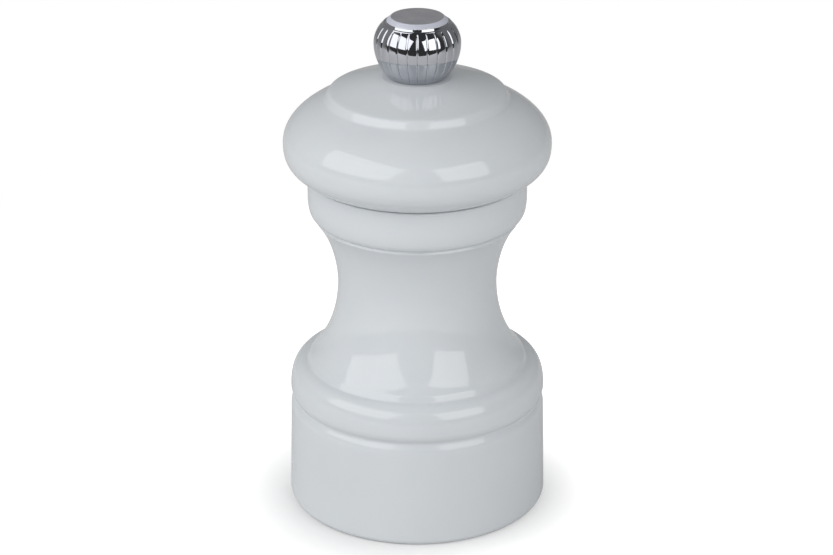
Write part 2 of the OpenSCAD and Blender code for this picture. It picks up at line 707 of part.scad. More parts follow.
// Outline of the strip: the centre line moved by half the sheet to each side
function bridge_outline() = let (h = sheet_t / 2,
    line = concat(bridge_side(-1), [for (i = [len(bridge_side(1)) - 1 : -1 : 0]) bridge_side(1)[i]]),
    last = len(line) - 1,
    normals = [for (i = [0 : last]) let (d = line[min(i + 1, last)] - line[max(i - 1, 0)])
        [-d[1], d[0]] / norm(d)])
    concat([for (i = [0 : last]) line[i] + h * normals[i]],
        [for (i = [last : -1 : 0]) line[i] - h * normals[i]]);

module bridge_bar() {
    color("lightsteelblue") difference() {
        union() {
            rotate([90, 0, 0]) linear_extrude(bridge_w, center = true) polygon(bridge_outline());
            translate([0, 0, bridge_z]) cylinder(r = bridge_eye_r, h = sheet_t);
        }
        translate([0, 0, bridge_z - eps]) cylinder(r = guide_r + turn_gap, h = sheet_t + 2 * eps);
        for (s = [-1, 1]) translate([s * rivet_x, 0, holder_top_z - eps])
            cylinder(r = rivet_r + press_gap, h = sheet_t + 2 * eps);
    }
}

module bridge_rivets() {
    foot_top_z = holder_top_z + sheet_t;
    color("silver") for (s = [-1, 1]) translate([s * rivet_x, 0, 0]) {
        translate([0, 0, rivet_low_z]) cylinder(r = rivet_head_r, h = rivet_head_h);
        translate([0, 0, rivet_low_z]) cylinder(r = rivet_r, h = foot_top_z - rivet_low_z);
        translate([0, 0, foot_top_z])
            cylinder(r1 = rivet_head_r, r2 = rivet_head_r * 0.7, h = rivet_head_h);
    }
}

module mechanism_screws() {
    color("silver") around_axis(holder_screws, holder_screw_x) {
        difference() {
            countersink();
            cross_recess(flange_z, holder_screw_head_r);
        }
        translate([0, 0, recess_depth - eps]) wood_screw(holder_screw_r, holder_screw_len + eps,
            holder_screw_len * screw_tip_share);
    }
}

// ---------------------------------------------------------------- shared shapes

// Copies of its children, count of them, at distance x from the axis
module around_axis(count, x) {
    for (i = [0 : count - 1]) rotate(90 + i * 360 / count) translate([x, 0, 0]) children();
}

// The square hole that the shaft slides in, through a piece of height h
module square_bore(h) {
    translate([-square_hole / 2, -square_hole / 2, -eps]) cube([square_hole, square_hole, h + 2 * eps]);
}

// A V-shaped cut of the given depth along +Z, its point towards +X
module tooth_cut(depth, length) {
    linear_extrude(length) polygon([[-depth, -depth * 1.6], [depth, 0], [-depth, depth * 1.6]]);
}

// The cone of a countersunk head through the flange, widened by gap
module countersink(gap = 0) {
    translate([0, 0, flange_z - (gap > 0 ? eps : 0)]) cylinder(r1 = holder_screw_head_r + gap,
        r2 = holder_screw_r + gap, h = sheet_t + (gap > 0 ? 2 * eps : 0));
}

// The shank of a wood screw of the given length, the last part of it a cone
module wood_screw(r, len, tip) {
    cylinder(r = r, h = len - tip);
    translate([0, 0, len - tip]) cylinder(r1 = r, r2 = r * screw_tip_r_share, h = tip);
}

// A cross-shaped recess in the head of a screw whose face is at height z
module cross_recess(z, head_r) {
    reach = head_r * cross_reach;
    for (a = [0, 90]) rotate(a) translate([-reach, -cross_w / 2, z - eps])
        cube([reach * 2, cross_w, cross_w]);
}

mill_body();
mill_head();
grind_knob();
knob_top_disc();
knob_thread_bush();
knob_glide_washer();
drive_plate();
drive_plate_screws();
drive_shaft();
shaft_stop_clip();
guide_bush();
rotor_spring();
spring_seat();
rotor_burr();
rotor_washer();
rotor_nut();
stator_ring();
burr_holder();
bridge_bar();
bridge_rivets();
mechanism_screws();
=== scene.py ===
"""Looks of a small turned pepper mill: lacquered beech body and head, chromed knob, steel burr mechanism.

The sizes below are millimetres and become metres where a mesh is made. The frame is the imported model's:
+Z runs up the mill's axis, and the origin is the centre of the face it stands on.
"""

import logging
import math
from collections.abc import Callable, Mapping, Sequence
from dataclasses import dataclass, field
from enum import Enum
from typing import Any

import bpy
import numpy as np
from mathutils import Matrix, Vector
from numpy.typing import NDArray


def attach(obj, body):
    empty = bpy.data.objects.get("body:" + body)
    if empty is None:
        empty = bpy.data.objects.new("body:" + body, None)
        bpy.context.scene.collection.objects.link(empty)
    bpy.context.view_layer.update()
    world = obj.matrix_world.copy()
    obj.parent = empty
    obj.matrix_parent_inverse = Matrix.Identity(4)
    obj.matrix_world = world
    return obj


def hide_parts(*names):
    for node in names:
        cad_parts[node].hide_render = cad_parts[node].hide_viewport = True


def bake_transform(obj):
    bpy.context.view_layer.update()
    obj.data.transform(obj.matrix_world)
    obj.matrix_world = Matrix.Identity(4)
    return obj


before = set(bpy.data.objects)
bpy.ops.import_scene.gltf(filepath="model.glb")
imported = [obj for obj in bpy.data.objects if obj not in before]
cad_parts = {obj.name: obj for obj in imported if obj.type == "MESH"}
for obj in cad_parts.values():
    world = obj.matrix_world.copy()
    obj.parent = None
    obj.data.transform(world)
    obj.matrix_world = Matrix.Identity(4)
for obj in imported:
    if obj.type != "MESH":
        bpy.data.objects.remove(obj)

Array = NDArray[np.float64]
Point = tuple[float, float]
Socket = bpy.types.NodeSocket

MM = 0.001
LOG = logging.getLogger("pepper_mill")

# Reach of a bell curve to either side, in its widths, and the distance below which two points are one
BELL_REACH = 3
SAME_PLACE = 1e-6
# Settings that many nodes share
WHITE = (1.0, 1.0, 1.0, 1.0)
SMOOTH = {"interpolation_type": "SMOOTHSTEP"}
COLOURS = {"data_type": "RGBA"}


# ---------------------------------------------------------------- outlines and grids


def cubic(p0: Point, p1: Point, p2: Point, p3: Point, steps: int = 40) -> Array:
    """Points of a cubic curve: its corners weighted by u cubed, 3 u squared t, 3 u t squared and t cubed.

    Args:
        p0: Start of the curve.
        p1: Handle of the start.
        p2: Handle of the end.
        p3: End of the curve.
        steps: Number of points, the start left out.

    Returns:
        Array of shape (steps, 2).
    """
    t = np.linspace(0.0, 1.0, steps + 1)[1:, None]
    u = 1.0 - t
    a, b, c, d = (np.array(p) for p in (p0, p1, p2, p3))
    return u**3 * a + 3 * u**2 * t * b + 3 * u * t**2 * c + t**3 * d


def arc(centre: Point, radius: float, start: float, end: float, steps: int = 24) -> Array:
    """Points of a circle's arc: the centre plus radius times (cos a, sin a).

    Args:
        centre: Centre of the arc.
        radius: Its radius.
        start: First angle, in degrees.
        end: Last angle, in degrees.
        steps: Number of points less one.

    Returns:
        Array of shape (steps + 1, 2).
    """
    a = np.radians(np.linspace(start, end, steps + 1))
    return np.array(centre) + radius * np.stack([np.cos(a), np.sin(a)], axis=1)


def soften(points: Array, soft: float, step: float = 0.02) -> Array:
    """Rounds the corners of a line: sampled evenly and averaged along its length with a bell curve.

    The curve is exp(-x squared / 2) with x in widths, cut off BELL_REACH widths to either side. The line is
    mirrored through its two end points for the average, so that they stay.

    Args:
        points: Corners of the line, of shape (n, 2).
        soft: Width of the bell curve, in millimetres.
        step: Distance between two samples, in millimetres.

    Returns:
        The samples, one for each step of the unrounded length.
    """
    length = np.concatenate([[0.0], np.cumsum(np.linalg.norm(np.diff(points, axis=0), axis=1))])
    s = np.linspace(0.0, length[-1], int(length[-1] / step) + 1)
    line = np.stack([np.interp(s, length, points[:, k]) for k in (0, 1)], axis=1)
    half = max(1, int(BELL_REACH * soft / step))
    bell = np.exp(-0.5 * (np.arange(-half, half + 1) * step / soft) ** 2)
    bell /= bell.sum()
    head = 2 * line[0] - line[half:0:-1]
    tail = 2 * line[-1] - line[-2 : -half - 2 : -1]
    padded = np.vstack([head, line, tail])
    return np.stack([np.convolve(padded[:, k], bell, "valid") for k in (0, 1)], axis=1)


@dataclass
class Outline:
    """An outline in the plane of radius and height, joined from stretches that share one value of a mask."""

    stretches: list[tuple[Array, float]] = field(default_factory=list)

    def add(self, points: Array | Sequence[Point], mask: float = 0.0) -> "Outline":
        """Adds a stretch of points, whose mask is the given value, and returns the outline."""
        self.stretches.append((np.atleast_2d(np.array(points, float)), mask))
        return self

    def rows(self, soft: float, turn: float = 5.0, reach: float = 1.6) -> tuple[Array, Array]:
        """Rounds the corners and picks the rows of a mesh.

        A row is kept each time the running sum of length over reach and of turned angle over turn passes a
        whole number.

        Args:
            soft: Width of the bell curve, in millimetres.
            turn: Angle between two rows on a bend, in degrees.
            reach: Distance between two rows on a straight, in millimetres.

        Returns:
            The rows, of shape (n, 2), and the mask at each.
        """
        points = np.vstack([p for p, _ in self.stretches])
        mask = np.concatenate([np.full(len(p), m) for p, m in self.stretches])
        gaps = np.linalg.norm(np.diff(points, axis=0), axis=1)
        keep = np.concatenate([[True], gaps > SAME_PLACE])
        points, mask = points[keep], mask[keep]
        length = np.concatenate([[0.0], np.cumsum(np.linalg.norm(np.diff(points, axis=0), axis=1))])
        line = soften(points, soft)
        s = np.linspace(0.0, length[-1], len(line))
        way = np.diff(line, axis=0)
        heading = np.unwrap(np.arctan2(way[:, 1], way[:, 0]))
        bend = np.degrees(np.abs(np.diff(heading, append=heading[-1:])))
        count = np.concatenate([[0.0], np.cumsum(bend / turn + np.linalg.norm(way, axis=1) / reach)])
        wanted = np.linspace(0.0, count[-1], max(3, math.ceil(count[-1])) + 1)
        place = np.interp(wanted, count, s)
        rows = np.stack([np.interp(place, s, line[:, k]) for k in (0, 1)], axis=1)
        return rows, np.interp(place, length, mask)


def make_mesh(
    name: str,
    grid: Array,
    *,
    closed_rows: bool = False,
    closed_columns: bool = True,
    masks: Mapping[str, Array] | None = None,
    sharp: float = 38.0,
) -> bpy.types.Object:
    """Makes an object from a grid of points, a quad between each four neighbours.

    A row whose points all lie together becomes one vertex with a fan of triangles around it. Faces point to
    the left of the rows' way when the columns run anticlockwise about +Z.

    Args:
        name: Name of the object and mesh.
        grid: Points in millimetres, of shape (rows, columns, 3).
        closed_rows: Whether the last row joins the first.
        closed_columns: Whether the last column joins the first.
        masks: Values kept on the vertices, by name, each of shape (rows, columns).
        sharp: Edges that turn by more than this angle in degrees are shaded sharp.

    Returns:
        The new object, linked to the scene.
    """
    n, m = grid.shape[:2]
    index = np.arange(n * m).reshape(n, m)
    pole = np.ptp(grid, axis=1).max(axis=1) < SAME_PLACE
    index[pole] = index[pole][:, :1]
    i = np.arange(n if closed_rows else n - 1)
    j = np.arange(m if closed_columns else m - 1)
    i0, j0 = np.meshgrid(i, j, indexing="ij")
    i1, j1 = (i0 + 1) % n, (j0 + 1) % m
    quads = np.stack([index[i0, j0], index[i0, j1], index[i1, j1], index[i1, j0]], axis=-1).reshape(-1, 4)
    low, high = quads[:, 0] == quads[:, 1], quads[:, 2] == quads[:, 3]
    used = np.unique(quads)
    renumber = np.zeros(n * m, int)
    renumber[used] = np.arange(len(used))
    parts = (quads[~low & ~high], quads[low & ~high][:, 1:], quads[high & ~low][:, :3])
    faces = [face for part in parts for face in renumber[part].tolist()]
    mesh = bpy.data.meshes.new(name)
    mesh.from_pydata((grid.reshape(-1, 3)[used] * MM).tolist(), [], faces)
    for key, values in (masks or {}).items():
        layer = mesh.attributes.new(key, "FLOAT", "POINT")
        layer.data.foreach_set("value", np.ascontiguousarray(values.reshape(-1)[used], np.float32))
    mesh.polygons.foreach_set("use_smooth", np.ones(len(mesh.polygons), bool))
    mesh.set_sharp_from_angle(angle=math.radians(sharp))
    mesh.update()
    thing = bpy.data.objects.new(name, mesh)
    bpy.context.scene.collection.objects.link(thing)
    return thing


def revolve(
    name: str,
    rows: Array,
    columns: int,
    *,
    closed: bool = False,
    masks: Mapping[str, Array] | None = None,
    relief: Callable[[Array, Array], Array] | None = None,
) -> bpy.types.Object:
    """Turns an outline about the axis: each point (r, z) becomes (r cos a, r sin a, z) over a full turn.

    Args:
        name: Name of the object.
        rows: Radius and height of the outline's points, of shape (n, 2).
        columns: Number of points around the axis.
        closed: Whether the outline is a loop, so that its last row joins its first.
        masks: One value for each row, by name.
        relief: Gives the change of radius from angles of shape (1, columns) and rows of shape (n, 1, 2).

    Returns:
        The new object.
    """
    a = np.linspace(0.0, 2 * math.pi, columns, endpoint=False)[None, :]
    r = np.repeat(rows[:, :1], columns, axis=1)
    if relief is not None:
        r = r + relief(a, rows[:, None, :])
    z = np.repeat(rows[:, 1:], columns, axis=1)
    grid = np.stack([r * np.cos(a), r * np.sin(a), z], axis=-1)
    spread = {key: np.repeat(values[:, None], columns, axis=1) for key, values in (masks or {}).items()}
    return make_mesh(name, grid, closed_rows=closed, masks=spread)


def dress(thing: bpy.types.Object, material: bpy.types.Material) -> None:
    """Gives every material slot of an object one material, or adds a slot if it has none.

    Args:
        thing: Piece to dress.
        material: Its material.
    """
    if not thing.material_slots:
        thing.data.materials.append(material)
    for place in thing.material_slots:
        place.material = material


# ---------------------------------------------------------------- finishes


def linear(colour: str) -> tuple[float, float, float, float]:
    """Turns an sRGB colour into a linear one by the standard's own curve.

    Args:
        colour: Red, green and blue as six hex digits.

    Returns:
        Linear red, green, blue and alpha.
    """
    parts = (int(colour[k : k + 2], 16) / 255 for k in (0, 2, 4))
    red, green, blue = (c / 12.92 if c <= 0.04045 else ((c + 0.055) / 1.055) ** 2.4 for c in parts)
    return red, green, blue, 1.0


def per_metre(size: float) -> float:
    """Scale of a noise whose features are size millimetres wide."""
    return 1.0 / (size * MM)


def wave_scale(gap: float) -> float:
    """Scale of a wave texture whose lines stand gap millimetres apart: it has ten waves for each pi."""
    return math.pi / 10 / (gap * MM)


def add_node(
    tree: bpy.types.NodeTree,
    kind: str,
    settings: Mapping[str | int, Any] | None = None,
    links: Mapping[str | int, Socket] | None = None,
) -> bpy.types.Node:
    """Adds a node with its settings and links.

    Args:
        tree: Node tree that gets the node.
        kind: Type of the node, without its ShaderNode prefix.
        settings: Values by the name or number of an input, or by the name of a property.
        links: Outputs of other nodes, by the name or number of the input that they feed.

    Returns:
        The new node.
    """
    made = tree.nodes.new("ShaderNode" + kind)
    for key, value in (settings or {}).items():
        if isinstance(key, str) and hasattr(made, key) and key not in made.inputs:
            setattr(made, key, value)
    for key, value in (settings or {}).items():
        if isinstance(key, int) or key in made.inputs:
            made.inputs[key].default_value = value
    for key, socket in (links or {}).items():
        tree.links.new(socket, made.inputs[key])
    return made


def new_material(name: str) -> tuple[bpy.types.Material, bpy.types.NodeTree, bpy.types.Node]:
    """Makes an empty material.

    Args:
        name: Name of the material.

    Returns:
        The material, its node tree and its Principled shader.
    """
    material = bpy.data.materials.new(name)
    material.use_nodes = True
    tree = material.node_tree
    return material, tree, next(n for n in tree.nodes if n.type == "BSDF_PRINCIPLED")


class Grain(Enum):
    """Way in which a tool left its marks on a metal."""

    NONE = "none"
    DRAWN = "fine lines along the axis"
    TURNED = "fine rings one above the other"
    FACED = "fine rings around the centre of a face"


@dataclass(frozen=True)
class Lacquer:
    """Beech, turned, sanded, primed and sprayed with a pale grey gloss lacquer.

    To the eye: a smooth wet gloss over an almost even grey white, with the faint waviness of a sprayed coat
    and a trace of the grain below. Where no coat was sprayed, sanded beech shows: pale tan with short darker
    flecks along the grain, dull, with the rings of the turning tool.
    """

    name: str = "lacquered_beech"
    # Coat: its colour and that of its clouds, roughness and that of its duller patches, the share of the
    # cloud noise between the two, the size of a cloud, and the size and depth of the sprayed film's waves.
    coat: str = "D3D7DA"
    coat_shade: str = "CBD0D4"
    coat_roughness: float = 0.05
    coat_roughness_worn: float = 0.09
    coat_ior: float = 1.52
    haze: tuple[float, float] = (0.35, 0.7)
    cloud: float = 16.0
    wave: float = 2.6
    wave_depth: float = 0.004
    # Edge of the spray: the size of its specks, and the sum of mask and speck between coat and wood.
    spray_edge: float = 1.2
    spray_band: tuple[float, float] = (0.92, 1.08)
    # Wood: sanded colour, growth rings and flecks. The rings run about a pith outside the blank, in metres.
    wood: str = "DDBE97"
    wood_ring: str = "CFA97D"
    wood_fleck: str = "A97C52"
    wood_roughness: float = 0.62
    pith: tuple[float, float, float] = (0.034, 0.021, 0.0)
    ring_gap: float = 2.4
    ring_wander: float = 2.2
    # Grain under the coat and in the wood. Its lines are drawn wider than beech has them, so that they show.
    grain_width: float = 0.7
    grain_length: float = 18.0
    grain_depth: float = 0.0016
    grain_strength: float = 0.5
    fleck_width: float = 0.35
    fleck_length: float = 2.6
    fleck_share: tuple[float, float] = (0.58, 0.68)
    fleck_strength: float = 0.75
    # Rings that the turning tool leaves on bare wood.
    tool_gap: float = 0.45
    tool_depth: float = 0.012

    def material(self) -> bpy.types.Material:
        """Makes the material: coat and bare wood, mixed by the piece's own mask with a ragged spray edge.

        Returns:
            The material.
        """
        material, tree, shader = new_material(self.name)
        place = add_node(tree, "TexCoord").outputs["Object"]
        bare = self._bare(tree, place)
        clouds = {"Scale": per_metre(self.cloud), "Detail": 3.0, "Roughness": 0.55}
        cloud = add_node(tree, "TexNoise", clouds, {"Vector": place}).outputs["Fac"]
        grain = self._streaks(tree, place, (self.grain_width, self.grain_length), 4.0)
        wood_colour = self._wood(tree, place, grain)
        coat_colours = {**COLOURS, 6: linear(self.coat), 7: linear(self.coat_shade)}
        coat_colour = add_node(tree, "Mix", coat_colours, {0: cloud}).outputs[2]
        colour = add_node(tree, "Mix", COLOURS, {0: bare, 6: coat_colour, 7: wood_colour}).outputs[2]
        dulling = {
            "From Min": self.haze[0],
            "From Max": self.haze[1],
            "To Min": self.coat_roughness,
            "To Max": self.coat_roughness_worn,
        }
        haze = add_node(tree, "MapRange", dulling, {"Value": cloud}).outputs[0]
        rough = add_node(tree, "Mix", {3: self.wood_roughness}, {0: bare, 2: haze}).outputs[0]
        tree.links.new(colour, shader.inputs["Base Color"])
        tree.links.new(rough, shader.inputs["Roughness"])
        tree.links.new(self._normal(tree, place, grain, bare), shader.inputs["Normal"])
        shader.inputs["IOR"].default_value = self.coat_ior
        return material

    @staticmethod
    def _streaks(tree: bpy.types.NodeTree, place: Socket, size: Point, detail: float) -> Socket:
        """Draws a noise that is drawn out along the grain, which runs along Z.

        Args:
            tree: Node tree of the material.
            place: Place on the piece.
            size: Width and length of a streak, in millimetres.
            detail: Levels of finer noise.

        Returns:
            The noise.
        """
        width, length = map(per_metre, size)
        along = add_node(tree, "Mapping", {"Scale": (width, width, length)}, {"Vector": place}).outputs[0]
        return add_node(tree, "TexNoise", {"Scale": 1.0, "Detail": detail}, {"Vector": along}).outputs["Fac"]

    def _bare(self, tree: bpy.types.NodeTree, place: Socket) -> Socket:
        """Takes the piece's mask of bare wood and breaks up its edge by a noise as wide as the spray's edge.

        Args:
            tree: Node tree of the material.
            place: Place on the piece.

        Returns:
            Share of bare wood.
        """
        mask = add_node(tree, "Attribute", {"attribute_name": "bare"}).outputs["Fac"]
        specks = {"Scale": per_metre(self.spray_edge), "Detail": 4.0}
        speck = add_node(tree, "TexNoise", specks, {"Vector": place}).outputs["Fac"]
        moved = add_node(tree, "Math", {"operation": "ADD"}, {0: mask, 1: speck}).outputs[0]
        band = {"From Min": self.spray_band[0], "From Max": self.spray_band[1], **SMOOTH}
        return add_node(tree, "MapRange", band, {"Value": moved}).outputs[0]

    def _wood(self, tree: bpy.types.NodeTree, place: Socket, grain: Socket) -> Socket:
        """Colours sanded beech: growth rings about a pith outside the blank, and flecks along the grain.

        Args:
            tree: Node tree of the material.
            place: Place on the piece.
            grain: Height of the grain.

        Returns:
            Colour of the wood.
        """
        aside = add_node(tree, "Mapping", {"Location": self.pith}, {"Vector": place}).outputs["Vector"]
        growth = {
            "wave_type": "RINGS",
            "rings_direction": "Z",
            "Scale": wave_scale(self.ring_gap),
            "Distortion": self.ring_wander,
            "Detail": 2.0,
            "Detail Scale": 0.6,
        }
        ring = add_node(tree, "TexWave", growth, {"Vector": aside}).outputs["Fac"]
        fleck = self._streaks(tree, place, (self.fleck_width, self.fleck_length), 2.0)
        low, high = self.fleck_share
        picked = {"From Min": low, "From Max": high, "To Max": self.fleck_strength}
        flecks = add_node(tree, "MapRange", picked, {"Value": fleck}).outputs[0]
        ringed = {**COLOURS, 6: linear(self.wood), 7: linear(self.wood_ring)}
        base = add_node(tree, "Mix", ringed, {0: ring}).outputs[2]
        grained = {**COLOURS, "blend_type": "SOFT_LIGHT", 0: self.grain_strength}
        streak = add_node(tree, "Mix", grained, {6: base, 7: grain}).outputs[2]
        flecked = {**COLOURS, 7: linear(self.wood_fleck)}
        return add_node(tree, "Mix", flecked, {0: flecks, 6: streak}).outputs[2]

    def _normal(self, tree: bpy.types.NodeTree, place: Socket, grain: Socket, bare: Socket) -> Socket:
        """Tilts the surface by the coat's waves and the grain under it, or by the tool's rings on bare wood.

        Args:
            tree: Node tree of the material.
            place: Place on the piece.
            grain: Height of the grain.
            bare: Share of bare wood.

        Returns:
            Normal of the surface.
        """
        waves = {"Scale": per_metre(self.wave), "Detail": 1.0, "Roughness": 0.4}
        wave = add_node(tree, "TexNoise", waves, {"Vector": place}).outputs["Fac"]
        turned = {
            "wave_type": "BANDS",
            "bands_direction": "Z",
            "Scale": wave_scale(self.tool_gap),
            "Distortion": 0.4,
            "Detail": 1.0,
        }
        rings = add_node(tree, "TexWave", turned, {"Vector": place}).outputs["Fac"]
        depths = (self.wave_depth, self.grain_depth, self.tool_depth)
        film, fibre, tool = ({"Strength": 1.0, "Distance": depth * MM} for depth in depths)
        waved = add_node(tree, "Bump", film, {"Height": wave}).outputs["Normal"]
        coat = add_node(tree, "Bump", fibre, {"Height": grain, "Normal": waved}).outputs["Normal"]
        cut = add_node(tree, "Bump", tool, {"Height": rings}).outputs["Normal"]
        return add_node(tree, "Mix", {"data_type": "VECTOR"}, {0: bare, 4: coat, 5: cut}).outputs[1]


@dataclass(frozen=True)
class Metal:
    """A metal with a slight mottling of colour and gloss, and the marks of its tool.

    Sizes are millimetres: mottle is the width of a patch, grain_gap and grain_depth are the tool's marks, and
    pits and pit_depth the finest roughness. Tool marks finer than about 0.2 are drawn that coarse, to show.
    Drawn lines are grain_length times as long as they are wide.
    """

    name: str
    colour: str
    tint: str
    rough: tuple[float, float]
    mottle: float = 4.0
    mottle_share: tuple[float, float] = (0.3, 0.7)
    grain: Grain = Grain.NONE
    grain_gap: float = 0.2
    grain_depth: float = 0.002
    grain_length: float = 60.0
    pits: float = 0.3
    pit_depth: float = 0.00001
    metallic: float = 1.0
    # Colour painted on the masked bevel: a painted highlight, paler than the metal
    painted_bevel_highlight: str = ""

    def material(self) -> bpy.types.Material:
        """Makes the material.

        Returns:
            The material: a noise as wide as the mottling mixes colour and tint and moves the roughness, a
            wave or a stretched noise draws the tool's marks, and a fine noise draws the pits. Where the
            piece's own mask says so, a paler colour is painted on: a painted highlight of the lit bevel.
        """
        material, tree, shader = new_material(self.name)
        place = add_node(tree, "TexCoord").outputs["Object"]
        patches = {"Scale": per_metre(self.mottle), "Detail": 4.0, "Roughness": 0.6}
        patch = add_node(tree, "TexNoise", patches, {"Vector": place}).outputs["Fac"]
        share = {"From Min": self.mottle_share[0], "From Max": self.mottle_share[1]}
        spread = add_node(tree, "MapRange", share, {"Value": patch}).outputs[0]
        mottled = {**COLOURS, 6: linear(self.colour), 7: linear(self.tint)}
        colour = add_node(tree, "Mix", mottled, {0: spread}).outputs[2]
        # Painted highlight: where the mask says so, a paler colour stands in for the light on a bevel
        if self.painted_bevel_highlight:
            cut = add_node(tree, "Attribute", {"attribute_name": "painted_bevel_highlight"}).outputs["Fac"]
            edge = {**COLOURS, 7: linear(self.painted_bevel_highlight)}
            colour = add_node(tree, "Mix", edge, {0: cut, 6: colour}).outputs[2]
        gloss = {"To Min": self.rough[0], "To Max": self.rough[1]}
        rough = add_node(tree, "MapRange", gloss, {"Value": spread}).outputs[0]
        tree.links.new(colour, shader.inputs["Base Color"])
        tree.links.new(rough, shader.inputs["Roughness"])
        shader.inputs["Metallic"].default_value = self.metallic
        pitting = {"Scale": per_metre(self.pits), "Detail": 2.0}
        pit = add_node(tree, "TexNoise", pitting, {"Vector": place}).outputs["Fac"]
        deep = {"Strength": 1.0, "Distance": self.pit_depth * MM}
        normal = add_node(tree, "Bump", deep, {"Height": pit}).outputs["Normal"]
        marks = self._marks(tree, place)
        if marks is not None:
            cut_in = {"Strength": 1.0, "Distance": self.grain_depth * MM}
            normal = add_node(tree, "Bump", cut_in, {"Height": marks, "Normal": normal}).outputs["Normal"]
        tree.links.new(normal, shader.inputs["Normal"])
        return material

    def _marks(self, tree: bpy.types.NodeTree, place: Socket) -> Socket | None:
        """Draws the tool's marks: lines along the axis, or waves up it or around it.

        Args:
            tree: Node tree of the material.
            place: Place on the piece.

        Returns:
            Height of the marks, or None for a metal without any.
        """
        wave = {"Scale": wave_scale(self.grain_gap), "Distortion": 0.6, "Detail": 2.0, "Detail Scale": 2.0}
        if self.grain is Grain.DRAWN:
            across = per_metre(self.grain_gap)
            lines = {"Scale": (across, across, across / self.grain_length)}
            drawn = add_node(tree, "Mapping", lines, {"Vector": place}).outputs[0]
            return add_node(tree, "TexNoise", {"Scale": 1.0, "Detail": 2.0}, {"Vector": drawn}).outputs["Fac"]
        if self.grain is Grain.TURNED:
            bands = {"wave_type": "BANDS", "bands_direction": "Z", **wave}
            return add_node(tree, "TexWave", bands, {"Vector": place}).outputs["Fac"]
        if self.grain is Grain.FACED:
            rings = {"wave_type": "RINGS", "rings_direction": "Z", **wave}
            return add_node(tree, "TexWave", rings, {"Vector": place}).outputs["Fac"]
        return None


@dataclass(frozen=True)
class Nylon:
    """Natural nylon, moulded: milky off-white, a little waxy, with a fine moulded grain."""

    name: str = "natural_nylon"
    colour: str = "E9E6DC"
    shade: str = "DAD5C6"
    roughness: float = 0.42
    ior: float = 1.53
    scatter: float = 0.2
    scatter_reach: tuple[float, float, float] = (0.0010, 0.0009, 0.0007)
    cloud: float = 3.0
    pits: float = 0.12
    pit_depth: float = 0.003

    def material(self) -> bpy.types.Material:
        """Makes the material: a cloudy off-white with a shallow scatter of light and a fine bump.

        Returns:
            The material.
        """
        material, tree, shader = new_material(self.name)
        place = add_node(tree, "TexCoord").outputs["Object"]
        clouds = {"Scale": per_metre(self.cloud), "Detail": 3.0}
        cloud = add_node(tree, "TexNoise", clouds, {"Vector": place}).outputs["Fac"]
        clouded = {**COLOURS, 6: linear(self.colour), 7: linear(self.shade)}
        colour = add_node(tree, "Mix", clouded, {0: cloud}).outputs[2]
        pitting = {"Scale": per_metre(self.pits), "Detail": 2.0}
        pit = add_node(tree, "TexNoise", pitting, {"Vector": place}).outputs["Fac"]
        deep = {"Strength": 1.0, "Distance": self.pit_depth * MM}
        normal = add_node(tree, "Bump", deep, {"Height": pit}).outputs["Normal"]
        tree.links.new(colour, shader.inputs["Base Color"])
        tree.links.new(normal, shader.inputs["Normal"])
        shader.inputs["Roughness"].default_value = self.roughness
        shader.inputs["IOR"].default_value = self.ior
        shader.inputs["Subsurface Weight"].default_value = self.scatter
        shader.inputs["Subsurface Radius"].default_value = self.scatter_reach
        return material


# Polished zinc casting, copper and nickel under bright chrome: a mirror, faintly blue, softly rippled.
CHROME = Metal("bright_chrome", "C3C5CA", "B8BAC1", (0.03, 0.055), mottle=5.0, pits=2.2, pit_depth=0.0012)
# Aluminium disc, faced and pearl blasted, then anodised: a dull silver grey, its bevel painted paler as a
# painted highlight.
SATIN_DISC = Metal(
    "satin_anodised_disc", "A5A5AA", "9A9AA0", (0.36, 0.46), mottle=3.0, grain=Grain.FACED, grain_gap=0.22,
    grain_depth=0.0016, pits=0.09, pit_depth=0.004, metallic=0.3, painted_bevel_highlight="D9DCE8",
)  # fmt: skip
# Leaded brass, turned and left bare: warm yellow with the tool's rings.
BRASS = Metal(
    "turned_brass", "D9B56A", "C79C50", (0.2, 0.34), mottle=2.5, grain=Grain.TURNED, grain_gap=0.16,
    grain_depth=0.003,
)  # fmt: skip
# Mild steel sheet, stamped and zinc plated: cool silver with faint clouds of straw colour.
ZINC_STEEL = Metal(
    "zinc_plated_steel", "BCC1C8", "C4C0B2", (0.26, 0.42), mottle=5.0, pits=0.25, pit_depth=0.003
)
# Carbon steel bar, cold drawn: plain grey with fine lines along its length.
DRAWN_STEEL = Metal(
    "drawn_bright_steel", "B4B5B8", "A6A6A8", (0.22, 0.34), mottle=3.0, grain=Grain.DRAWN, grain_gap=0.18,
    grain_depth=0.003,
)  # fmt: skip
# Spring steel, hardened and blued: near black with a blue cast.
SPRING_STEEL = Metal(
    "blued_spring_steel", "4C4F58", "5A5650", (0.28, 0.4), mottle=2.0, pits=0.2, pit_depth=0.002
)
# Burr steel, milled and case hardened: dark grey, dull, mottled by the quench.
BURR_STEEL = Metal(
    "case_hardened_steel", "77787C", "625F5E", (0.38, 0.55), mottle=2.2, grain=Grain.TURNED, grain_gap=0.25,
    grain_depth=0.004, pits=0.15, pit_depth=0.006,
)  # fmt: skip


# ---------------------------------------------------------------- turned wood

# Mask of wood that gets no lacquer; the edges between the two have values in between
BARE = 1.0


